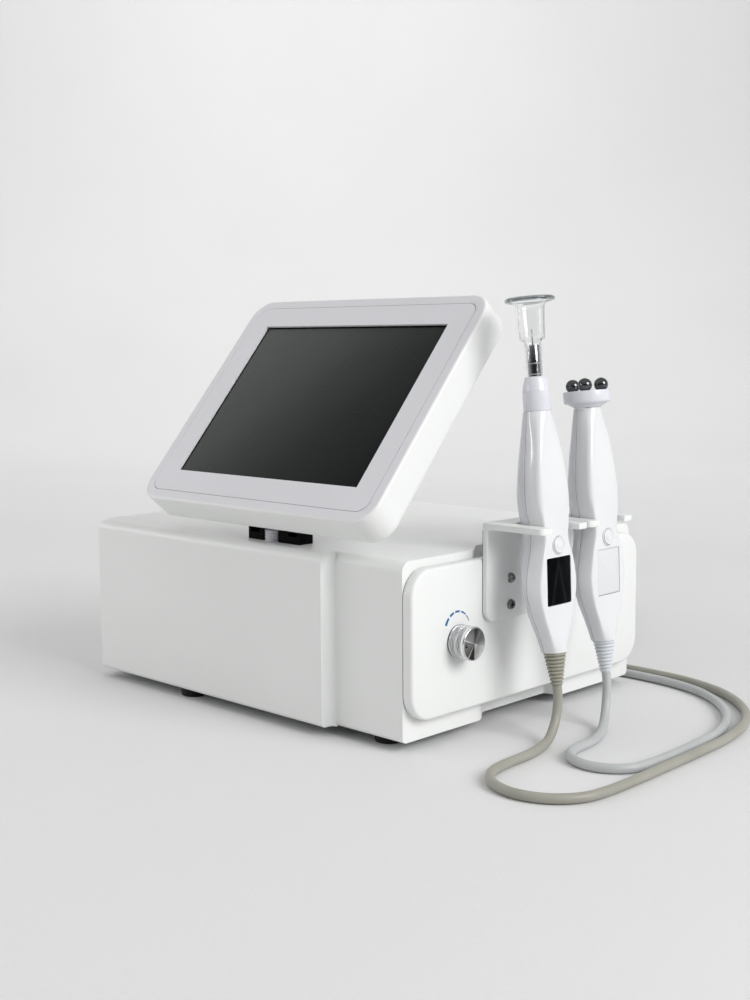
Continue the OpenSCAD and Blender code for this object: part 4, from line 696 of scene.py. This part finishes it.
def rim_margin(material, sides):
    """Distance (m) to the nearest edge of a rectangle: (axis, middle, half its width) of both ways."""
    place = node(material, "TexCoord", out="Object")
    margins = []
    for axis, middle, half in sides:
        along = node(material, "VectorMath", [(0, place), (1, axis)], "Value", operation="DOT_PRODUCT")
        off = node(material, "Math", [(0, along), (1, middle)], 0, operation="SUBTRACT")
        off = node(material, "Math", [(0, off)], 0, operation="ABSOLUTE")
        margins.append(node(material, "Math", [(0, half), (1, off)], 0, operation="SUBTRACT"))
    return node(material, "Math", enumerate(margins), 0, operation="MINIMUM")


# the painted reflection falls across the panel: 0.68 of the way from left to right, and 0.32 from top to
# bottom
(wide, middle_w, half_w), (tall, middle_t, half_t) = opening
fall = wide * (0.68 / (2 * half_w)) - tall * (0.32 / (2 * half_t))
fall_start = fall.dot(wide * (middle_w - half_w) + tall * (middle_t + half_t))
place = node(display, "TexCoord", out="Object")
smears = node(display, "TexNoise", [("Vector", place)], "Fac", Scale=28.0, Detail=6.0, Roughness=0.62)
fallen = node(display, "VectorMath", [(0, place), (1, fall)], "Value", operation="DOT_PRODUCT")
uneven = node(display, "Math", [(0, smears), (1, 0.06), (2, fallen)], 0, operation="MULTIPLY_ADD")
share = node(display, "MapRange", [("Value", uneven)], "Result", From_Min=fall_start + 0.03,
             From_Max=fall_start + 1.03)
tone = node(display, "ValToRGB", [("Fac", share)], "Color", stops=(
    (0.0, "5B5D5C"), (0.32, "4B4D4C"), (0.5, "3A3C3B"), (0.68, "282A2A"), (1.0, "0E1113")))
# black mask round the lit area
mask = node(display, "MapRange", [("Value", rim_margin(display, opening))], "Result", From_Min=0.0009,
            From_Max=0.0016)
masked = node(display, "MixRGB", [("Fac", mask), ("Color2", tone)], "Color", Color1=colour("060708"))
feed(display, Base_Color=masked, Roughness=node(
    display, "MapRange", [("Value", smears)], "Result", From_Min=0.35, From_Max=0.7, To_Min=0.2, To_Max=0.3))
made_of(nodes["display_panel"], display)
black_steel = finish_of(
    "black_powder_coat", 0.0006, 0.00003, (0.52, 0.68), ("020203", "040405"), 0.02, Roughness=0.6,
    Specular_IOR_Level=0.06)
softened("screen_mount", 0.6, black_steel, "black_painted_steel", "housing", least=4.0, segments=2)
softened("screen_arm", 0.6, black_steel, "black_painted_steel", "screen", least=4.0, segments=2)
made_of(nodes["hinge_pin"], steel_screw)
made_of(nodes["screen_cover_screws"], steel_screw)
sleeve_grey = finish_of(
    "ribbed_grey_sleeve", 0.0007, 0.00003, (0.5, 0.65), ("C7C7CE", "D0D0D6"), 0.01, Roughness=0.55)
outline = [(0, 0)]
for k in range(4):
    outline += [(r, 2.4 * k + z) for r, z in ((7.7, 0), (8.3, 0.1), (8.5, 0.5), (8.5, 1.3), (8.3, 1.7),
                                              (7.7, 1.8))]
sleeve = turned("cable_sleeve_ribbed", outline + [(7.7, 9.4), (0, 9.4)], sleeve_grey, 48)
sleeve.location = Vector((0.4, -123.8, 144)) * MM
placed(sleeve, "housing", "braided_sleeve", "cable_sleeve")


# ---- Handpiece shells ------------
# Each grip is two glossy moulded ABS shells, clipped together along a parting line on the sides.
# The front one has a flat face between two creases, with holes for the button and the window;
# the rear one is a deep round back with a bead line beside the parting.
gloss_abs, rear_abs = (
    finish_of(name, 0.0016, 0.000003, (0.12, 0.20), tones, 0.05, Roughness=0.16, IOR=1.53)
    for name, tones in (("white_gloss_abs", ("E0E1E3", "E4E5E7")), ("lilac_gloss_abs", ("DEDEE4", "E2E2E8"))))
PARTING, BUTTON_Z, WINDOW_Z = -3.0, -13.2, -40.5
# height on the axis, half width at the parting, depth behind it, distance and half width of the
# front face, crown of that face
GRIP = [
    (-95, 8.9, 6.4, 6.6, 6.7, 2.8), (-80, 13.9, 8.9, 7.1, 12.6, 1.2), (-62, 21.6, 11.4, 7.7, 19.2, 0.5),
    (-44, 25.3, 12.5, 8.8, 22.2, 0.4), (-26, 21.2, 14.6, 9.9, 19.6, 0.4), (-10, 15.7, 14.7, 10.2, 14.5, 0.8),
    (3, 16.3, 15.6, 10.9, 15.2, 1), (22, 19.1, 16.2, 11.4, 18.1, 1), (44, 17.1, 13.9, 11, 16.5, 1),
    (66, 13.4, 10.9, 10, 12.7, 1.4), (88, 9.85, 7.3, 7.3, 7.3, 3)]


def grip_row(height):
    """The section's values at a height, on smooth curves through the stations."""
    i = max([k for k in range(len(GRIP) - 1) if GRIP[k][0] <= height] or [0])
    near = GRIP[max(i - 1, 0)], GRIP[i], GRIP[i + 1], GRIP[min(i + 2, len(GRIP) - 1)]
    low, high = 0.0, 1.0
    for _ in range(24):
        middle = (low + high) / 2
        low, high = (middle, high) if spline_at(*(row[0] for row in near), middle) < height else (low, middle)
    return [height] + [spline_at(*(row[k] for row in near), low) for k in range(1, 6)]


# the button's round hole and the window with its round corners (mm)
BUTTON_R, WINDOW_TALL, WINDOW_HALF, WINDOW_R = 6.6, 16.7, 13.5, 1.4


def hole_edge(z):
    """Half width, at a height, of the round button hole, the window or the plain strips between."""
    off = abs(z - BUTTON_Z)
    if off < BUTTON_R + 0.01:
        return max(sqrt(max(BUTTON_R ** 2 - off ** 2, 0)), 1.2)
    off = abs(z - WINDOW_Z) - WINDOW_TALL
    if off < WINDOW_R + 0.01:
        return WINDOW_HALF + sqrt(max(WINDOW_R ** 2 - max(off, 0) ** 2, 0))
    end = WINDOW_TALL + WINDOW_R
    known = [(-95.0, 3.0), (WINDOW_Z - end, WINDOW_HALF), (WINDOW_Z + end, WINDOW_HALF),
             (BUTTON_Z - BUTTON_R, 1.2), (BUTTON_Z + BUTTON_R, 1.2), (22.0, 6.0), (88.0, 3.0)]
    for (z0, e0), (z1, e1) in zip(known, known[1:]):
        if z <= z1:
            return e0 + (e1 - e0) * (z - z0) / (z1 - z0)
    return 3.0


def front_section(row, inset):
    """Half section of the front shell from its middle out to the parting, as (x, y)."""
    z, wide, depth, face, half, crown = row
    edge = half - 0.9 * inset
    hole = min(hole_edge(z), 0.87 * edge)

    def on_face(y):
        return face - inset + crown * (1 - (y / edge) ** 2), y

    def on_wall(v):
        return (PARTING + (face - inset - PARTING) * v,
                wide - inset + (half - wide + 0.1 * inset) * v + (0.3 + 0.35 * crown) * 4 * v * (1 - v))

    # crisp crease at the waist and the bulge, a soft one on the upper grip
    rise = (z - 4) / 18
    reach = min(1.1 + 2.4 * eased(rise), (0.1 + 0.14 * min(max(rise, 0), 1)) * edge, 0.23 * (face - PARTING))
    start, corner, end = on_face(edge - reach), on_face(edge), on_wall(1 - reach / (face - PARTING))
    crease = [tuple((1 - t) ** 2 * s + 2 * t * (1 - t) * c + t * t * e for s, c, e in zip(start, corner, end))
              for t in (0.0, 0.25, 0.5, 0.75, 1.0)]
    rim = 0.0 if inset else 0.3
    return ([on_face(hole * k / 3) for k in range(4)] + [on_face((hole + edge - reach) / 2)] + crease
            + [on_wall(v) for v in (0.75, 0.55, 0.35, 0.18, 0.04)] + [(PARTING, wide - inset - rim)])


def rear_section(row, inset):
    """Half section of the rear shell from its middle out to the parting, as (x, y)."""
    z, wide, depth = row[:3]
    power, wide, depth = 2.2, wide - inset, depth - inset

    def at(back, sunk=0.0):
        return PARTING - back, wide * (1 - (back / depth) ** power) ** (1 / power) - sunk

    bead = 0.0 if inset else 0.35
    first = asin((2.7 / depth) ** (power / 2))
    angles = [pi / 2 + (first - pi / 2) * k / 9 for k in range(10)]
    return ([(PARTING - depth * sin(a) ** (2 / power), wide * max(cos(a), 0.0) ** (2 / power))
             for a in angles]
            + [at(2.4), at(2.2, bead), at(1.9, bead), at(1.7), at(0.6), at(0.3, bead * 0.85)])


# section heights: evenly spaced, and close together at the rims of the button hole and the window
HEIGHTS = sorted({round(z, 3) for z in (
    [GRIP[0][0] + 3.05 * k for k in range(61)]
    + [BUTTON_Z + BUTTON_R * side * s for s in (0, 0.26, 0.5, 0.71, 0.87, 0.966, 1) for side in (-1, 1)]
    + [WINDOW_Z + side * (WINDOW_TALL + WINDOW_R * t) for side in (-1, 1) for t in (0, 0.5, 0.87, 1)])})
WALL = 2.0


def shell(name, section, holes, material):
    """Moulded half shell, lofted along the axis, with the holes' cells left out."""
    form = bmesh.new()
    layers = []
    for inset in (0.0, WALL):
        halves = [(z, section(grip_row(z), inset)) for z in HEIGHTS]
        layers.append([ring_of(form, [(x, -y, z) for x, y in half[:0:-1]] + [(x, y, z) for x, y in half])
                       for z, half in halves])
    outer, inner = layers
    rows, count = len(HEIGHTS) - 1, len(outer[0]) - 1
    middle = (count + 1) // 2

    def is_hole(j, k):
        z = (HEIGHTS[j] + HEIGHTS[j + 1]) / 2
        return holes and middle - 3 <= k < middle + 3 and any(
            abs(z - at) < deep for at, deep in ((BUTTON_Z, BUTTON_R), (WINDOW_Z, WINDOW_TALL + WINDOW_R)))

    # edges where the outside and the inside are joined: the rims, and round each hole
    rims = [(j, k, 1, 0) for k in (0, count) for j in range(rows)]
    rims += [(j, k, 0, 1) for j in (0, rows) for k in range(count)]
    for j, k in ((j, k) for j in range(rows) for k in range(count)):
        if is_hole(j, k):
            rims += [edge for beside, edge in (
                ((j - 1, k), (j, k, 0, 1)), ((j + 1, k), (j + 1, k, 0, 1)),
                ((j, k - 1), (j, k, 1, 0)), ((j, k + 1), (j, k + 1, 1, 0))) if not is_hole(*beside)]
        else:
            for rings in layers:
                form.faces.new((rings[j][k], rings[j][k + 1], rings[j + 1][k + 1], rings[j + 1][k]))
    for j, k, dj, dk in rims:
        form.faces.new((outer[j][k], outer[j + dj][k + dk], inner[j + dj][k + dk], inner[j][k]))
    bmesh.ops.delete(form, geom=[v for v in form.verts if not v.link_faces], context="VERTS")
    bmesh.ops.recalc_face_normals(form, faces=form.faces)
    return piece_from(name, form, material, 38)


def hung(i, obj, body, slot, *instead, place=(0, 0, 0), turn=0.0):
    """Hangs a piece in fork i: place on the handpiece's own axes (mm), turned about Y first."""
    obj.matrix_world = (Matrix.Translation(FORK[i] * MM) @ Matrix.Rotation(-LEAN, 4, "Y")
                        @ Matrix.Translation(Vector(place) * MM) @ Matrix.Rotation(turn, 4, "Y"))
    return placed(obj, body, slot, *instead)


for i, kind in enumerate(("vacuum", "ball")):
    for half, section, holes, material in (("front", front_section, True, gloss_abs),
                                           ("rear", rear_section, False, rear_abs)):
        hung(i, shell("%s_%s_shell_moulded" % (kind, half), section, holes, material), kind + "_handpiece",
             "white_gloss_abs", "%s_%s_shell" % (kind, half))


# ---- Buttons, display and plate ------------
# Round white push buttons in raised rings. Below them the vacuum handpiece has a small dark
# display behind glossy glass, the ball handpiece a bare pale satin plate.
for i, kind in enumerate(("vacuum", "ball")):
    ring = turned(kind + "_button_ring", [(6.6, 9.6), (7.5, 9.6), (7.5, 11.2), (7.3, 11.5), (7.0, 11.6),
                                          (6.75, 11.5), (6.6, 11.2)], gloss_abs, 72, closed=True)
    hung(i, ring, kind + "_handpiece", "white_gloss_abs", place=(0, 0, BUTTON_Z), turn=pi / 2)
    button = turned(kind + "_button_cap", [
        (0, 7.7), (6.25, 7.7), (6.25, 11.7), (6.1, 12.1), (5.75, 12.3), (5.3, 12.3), (5.0, 12.15),
        (4.8, 11.8), (3.6, 11.7), (3.35, 11.85), (3.1, 12.1), (2.8, 12.15), (0, 12.15)], gloss_abs, 72)
    hung(i, button, kind + "_key", "white_gloss_abs", kind + "_button", place=(0, 0, BUTTON_Z),
         turn=pi / 2)

# the glass and the plate are alike in outline, and follow the face, which leans by 3 degrees
PANE_WIDE, PANE_TALL, PANE_AT, PANE_LEAN = 14.6, 17.8, (8.9, 0, WINDOW_Z), radians(3)
pane = rounded(-PANE_WIDE, PANE_WIDE, -PANE_TALL, PANE_TALL, [1.2] * 4, 6)
black_glass = finish_of("black_display_glass", Roughness=0.06, IOR=1.52, Specular_IOR_Level=0.03)
place = node(black_glass, "TexCoord", out="Object")
axes = node(black_glass, "SeparateXYZ", [("Vector", place)]).outputs
# two faint streaks of light that spread downwards from the top, as in a tilted display
aside = node(black_glass, "Math", [(0, axes["Y"])], 0, operation="ABSOLUTE")
spread = node(black_glass, "MapRange", [("Value", axes["Z"])], "Result", From_Min=0.015, From_Max=-0.018,
              To_Min=0.0, To_Max=0.0085)
apart = node(black_glass, "Math", [(0, aside), (1, spread)], 0, operation="SUBTRACT")
apart = node(black_glass, "Math", [(0, apart)], 0, operation="ABSOLUTE")
streak = node(black_glass, "MapRange", [("Value", apart)], "Result", From_Min=0.0, From_Max=0.0028,
              To_Min=1.0, To_Max=0.0, interpolation_type="SMOOTHSTEP")
patches = node(black_glass, "TexNoise", [("Vector", place)], "Fac", Scale=90.0, Detail=2.0)
streak = node(black_glass, "Math", [(0, streak), (1, patches)], 0, operation="MULTIPLY")
feed(black_glass, Base_Color=node(black_glass, "ValToRGB", [("Fac", streak)], "Color",
                                  stops=((0.0, "020303"), (1.0, "1C2227"))))
hung(0, slab("vacuum_display_glass", pane, -1.6, 0.0, 0.25, black_glass, 3), "vacuum_handpiece",
     "display_glass", "vacuum_display", place=PANE_AT, turn=PANE_LEAN)

plate_film = finish_of("satin_label_plate", 0.0005, 0.000006, (0.36, 0.48), Roughness=0.42, IOR=1.5)
# fine grey line printed along the rim
margin = rim_margin(plate_film, [(Vector((0, 1, 0)), 0.0, PANE_WIDE * MM),
                                 (Vector((0, 0, 1)), 0.0, PANE_TALL * MM)])
share = node(plate_film, "MapRange", [("Value", margin)], "Result", From_Max=0.002)
feed(plate_film, Base_Color=node(plate_film, "ValToRGB", [("Fac", share)], "Color", stops=(
    (0.0, "DCDDDF"), (0.15, "DCDDDF"), (0.3, "CED0D3"), (0.5, "DCDDDF"), (1.0, "DCDDDF"))))
hung(1, slab("ball_plate_bare", pane, -1.6, 0.0, 0.2, plate_film, 3), "ball_handpiece",
     "white_satin_plate", "ball_plate", place=PANE_AT, turn=PANE_LEAN)


# ---- Boots of the handpieces ------------
# Soft PVC bend relief at each grip's lower end: nine round ribs on a core that tapers to the
# cable, warm olive grey on the vacuum handpiece and pale bluish white on the ball one.
olive_pvc = finish_of(
    "warm_olive_grey_pvc", 0.0008, 0.00002, (0.44, 0.6), ("9A988A", "A4A294"), 0.02, Roughness=0.5, IOR=1.5)
pale_pvc = finish_of(
    "pale_bluish_pvc", 0.0008, 0.00002, (0.36, 0.5), ("D6D9DE", "DEE1E6"), 0.02, Roughness=0.42, IOR=1.5)
BOOT_TOP, RIBS, RIB_PITCH = -95.3, 9, 2.833
for i, (kind, soft, slot) in enumerate((("vacuum", olive_pvc, "warm_grey_pvc"),
                                        ("ball", pale_pvc, "pale_grey_pvc"))):
    outline = [(0, BOOT_END), (CABLE_R, BOOT_END), (4.2, BOOT_END + 0.1)]
    for k in reversed(range(RIBS)):
        top, r = BOOT_TOP - k * RIB_PITCH, 8.9 - 4.4 * (k + 0.5) / RIBS
        # from the core out round the rib and back, by distances inside its rim and below its top
        outline += [(r - inside, top - below) for inside, below in (
            (1.15, 1.85), (0.5, 1.8), (0.12, 1.62), (0, 1.25), (0, 0.55), (0.12, 0.2), (0.5, 0), (1.15, 0))]
    outline += [(5.5, BOOT_TOP), (5.5, -91), (0, -91)]
    hung(i, turned(kind + "_boot_ribbed", outline, soft, 56, smooth=50), kind + "_handpiece", slot,
         kind + "_relief")


# ---- Vacuum tip ------------
# Lilac white moulded collar on the grip's upper end, a polished steel nozzle with two ring
# grooves and a fine needle in it, and a clear blown glass cup with a round rolled rim over it.
lilac_abs = finish_of(
    "lilac_white_abs", 0.0012, 0.000005, (0.15, 0.26), ("D9D9E1", "DEDEE5"), 0.05, Roughness=0.2, IOR=1.53)
collar = turned("vacuum_collar_turned", [
    (4.8, 82), (7.1, 82), (7.1, 87.9), (9.9, 88.05), (10.2, 88.2), (10.4, 88.6), (10.4, 102.4),
    (10.15, 102.6), (10.15, 102.9), (10.3, 103.1), (9.7, 107), (8.9, 110.5), (8.2, 112.6), (7.9, 113.3),
    (7.5, 113.8), (7.0, 114), (4.8, 114)], lilac_abs, 96, closed=True)
hung(0, collar, "vacuum_handpiece", "lilac_white_abs", "vacuum_collar")
bright_steel = finish_of(
    "polished_stainless_steel", 0.0006, 0.000003, (0.06, 0.13), Metallic=1.0, Roughness=0.09,
    Base_Color=colour("8C8E90"))
NOZZLE_R, GROOVE_R = 4.7, 4.0
outline = [(0, 92), (2.5, 92), (2.5, 84), (NOZZLE_R, 84)]
for z in (115.3, 123.3):
    outline += [(NOZZLE_R, z), (GROOVE_R, z), (GROOVE_R, z + 1), (NOZZLE_R, z + 1)]
outline += [(NOZZLE_R, 136.9), (4.5, 137.4), (4.1, 137.5), (0.55, 137.5), (0.55, 149.2), (0.4, 149.5),
            (0, 149.5)]
nozzle = turned("vacuum_nozzle_turned", outline, bright_steel, 72)
hung(0, nozzle, "vacuum_handpiece", "polished_steel", "vacuum_nozzle")
pale_silicone = finish_of(
    "pale_silicone_seal", 0.001, 0.000005, (0.26, 0.36), ("E6E8E9", "EEF0F0"), 0.01, Roughness=0.3,
    IOR=1.42, Subsurface_Weight=0.2)


def bead(name, r, z, thick, material, round_points, sides):
    """Ring of round section, of radius thick, round Z at radius r and height z (mm)."""
    return turned(name, arc(r, z, thick, 0, 360 / round_points, round_points), material, sides, 60,
                  closed=True)


for k, z in enumerate((115.8, 123.8)):
    hung(0, bead("vacuum_nozzle_seal_%d" % (k + 1), 4.4, z, 0.42, pale_silicone, 14, 72), "vacuum_handpiece",
         "silicone_hose")
clear_glass = finish_of(
    "clear_blown_glass", tones=("FBFCFC", "FFFFFF"), tone_size=0.03, Roughness=0.0, IOR=1.47,
    Transmission_Weight=1.0, Base_Color=colour("FDFEFE"))
outside = [
    (5.9, 114.3), (6.1, 120), (6.15, 121.5), (6.55, 137.4), (6.6, 138.8), (6.75, 139.7), (7.1, 140.3),
    (7.8, 140.75), (8.5, 141.15), (9.1, 141.7), (9.5, 142.5), (9.75, 143.6), (9.85, 145), (9.9, 146.5),
    (9.98, 149), (10.05, 150.5), (10.74, 163.2), (10.82, 164.7), (10.95, 165.8), (11.2, 166.8),
    (11.6, 167.8), (12.2, 168.7), (13.1, 169.5), (14.2, 169.9), (15.6, 170.3)]
inside = [
    (15.6, 171.9), (14.6, 171.5), (12.6, 170.4), (11.6, 169.5), (10.8, 168.5), (10.2, 167.3), (9.9, 166),
    (9.75, 164.8), (9.66, 163.2), (8.98, 150.5), (8.9, 149), (8.82, 146.5), (8.75, 145.3), (8.55, 144),
    (8.2, 143), (7.6, 142.2), (6.8, 141.75), (6.1, 141.4), (5.5, 140.6), (5.2, 139.4), (5.0, 138),
    (4.9, 136.5), (4.85, 135), (4.85, 114.3)]
hung(0, turned("glass_cup_blown", outside + inside, clear_glass, 96, 60, closed=True), "cup", "clear_glass",
     "glass_cup")
# the fire polished rim is thicker and looks grey
rim_glass = finish_of(
    "grey_rim_glass", tones=("AAB0B2", "B4BABC"), tone_size=0.02, Roughness=0.0, IOR=1.47,
    Transmission_Weight=1.0)
hung(0, bead("glass_cup_rim", 17.3, 171.7, 1.7, rim_glass, 20, 96), "cup", "clear_glass")


# ---- Turning head ------------
# Lilac white moulded disc on a short cone, turned by a shaft out of the grip. Three mirror
# chromed steel balls stand on it on studs, as the electrodes.
head = turned("turning_head_turned", [(0, 88.3), (10, 88.3), (10.3, 88.5), (15.6, 91.5)]
              + arc(15.9, 94.1, 2.6, -90, 15, 7) + arc(17.7, 100.7, 0.8, 0, 22.5, 5)
              + [(16.6, 101.5), (16.4, 101.3), (0, 101.3)], lilac_abs, 96)
hung(1, head, "head", "lilac_white_abs", "turning_head")
mirror_chrome = finish_of(
    "mirror_chrome", 0.0005, 0.000001, (0.03, 0.08), Metallic=1.0, Roughness=0.05,
    Base_Color=colour("5C5E60"))
BALL_R, RING_R, RING_TURN = 5.5, 12.8, 61
outline = [(0, -12.5), (1.8, -12.5), (2, -12.3), (2, -5.2)] + arc(0, 0, BALL_R, -66, 6, 26) + [(0, BALL_R)]
for k in range(3):
    a = radians(RING_TURN + 120 * k)
    hung(1, turned("ball_electrode_%d" % (k + 1), outline, mirror_chrome, 64, 60), "head", "mirror_chrome",
         "ball_electrodes", place=(RING_R * cos(a), RING_R * sin(a), 105.7))


# ---- Rear, base and inner pieces ------------
# Bought-in parts behind and inside the housing, each of the material it's sold in: painted steel
# panel, black moulded inlet, switch and fan, plated sockets, and the pump, supply and boards.
painted_steel = finish_of(
    "white_painted_steel", 0.0008, 0.00002, (0.44, 0.58), ("D2D3D4", "DADBDC"), 0.05, Roughness=0.5)
moulded_black = finish_of(
    "black_moulded_plastic", 0.0007, 0.00002, (0.36, 0.5), ("141516", "1B1C1E"), 0.02, Roughness=0.42)
brass = finish_of(
    "brass", 0.0008, 0.00001, (0.24, 0.4), Metallic=1.0, Roughness=0.32, Base_Color=colour("B9964C"))
green_board = finish_of(
    "green_solder_mask", 0.0012, 0.00001, (0.32, 0.5), ("17502F", "1D5F3A"), 0.006, Roughness=0.4)
pump_black = finish_of(
    "dark_cast_pump_body", 0.0015, 0.00008, (0.5, 0.7), ("26282B", "303236"), 0.01, Roughness=0.6)
silicone = finish_of(
    "translucent_silicone", 0.002, 0.00001, (0.3, 0.42), ("D4D8D8", "DEE1E1"), 0.02, Roughness=0.35,
    IOR=1.42, Subsurface_Weight=0.3)
for material, *names in (
        (painted_steel, "rear_panel"), (steel_screw, "base_screws", "panel_screws"),
        (moulded_black, "mains_inlet", "power_switch", "switch_rocker", "fan_frame", "fan_rotor"),
        (nickel, "cable_sockets"), (brass, "level_valve"), (zinc, "power_supply", "ball_motor"),
        (bright_steel, "head_shaft"),
        (green_board, "control_board", "vacuum_circuit", "ball_circuit"), (pump_black, "vacuum_pump"),
        (silicone, "pump_hose", "vacuum_tube")):
    for name in names:
        made_of(nodes[name], material)
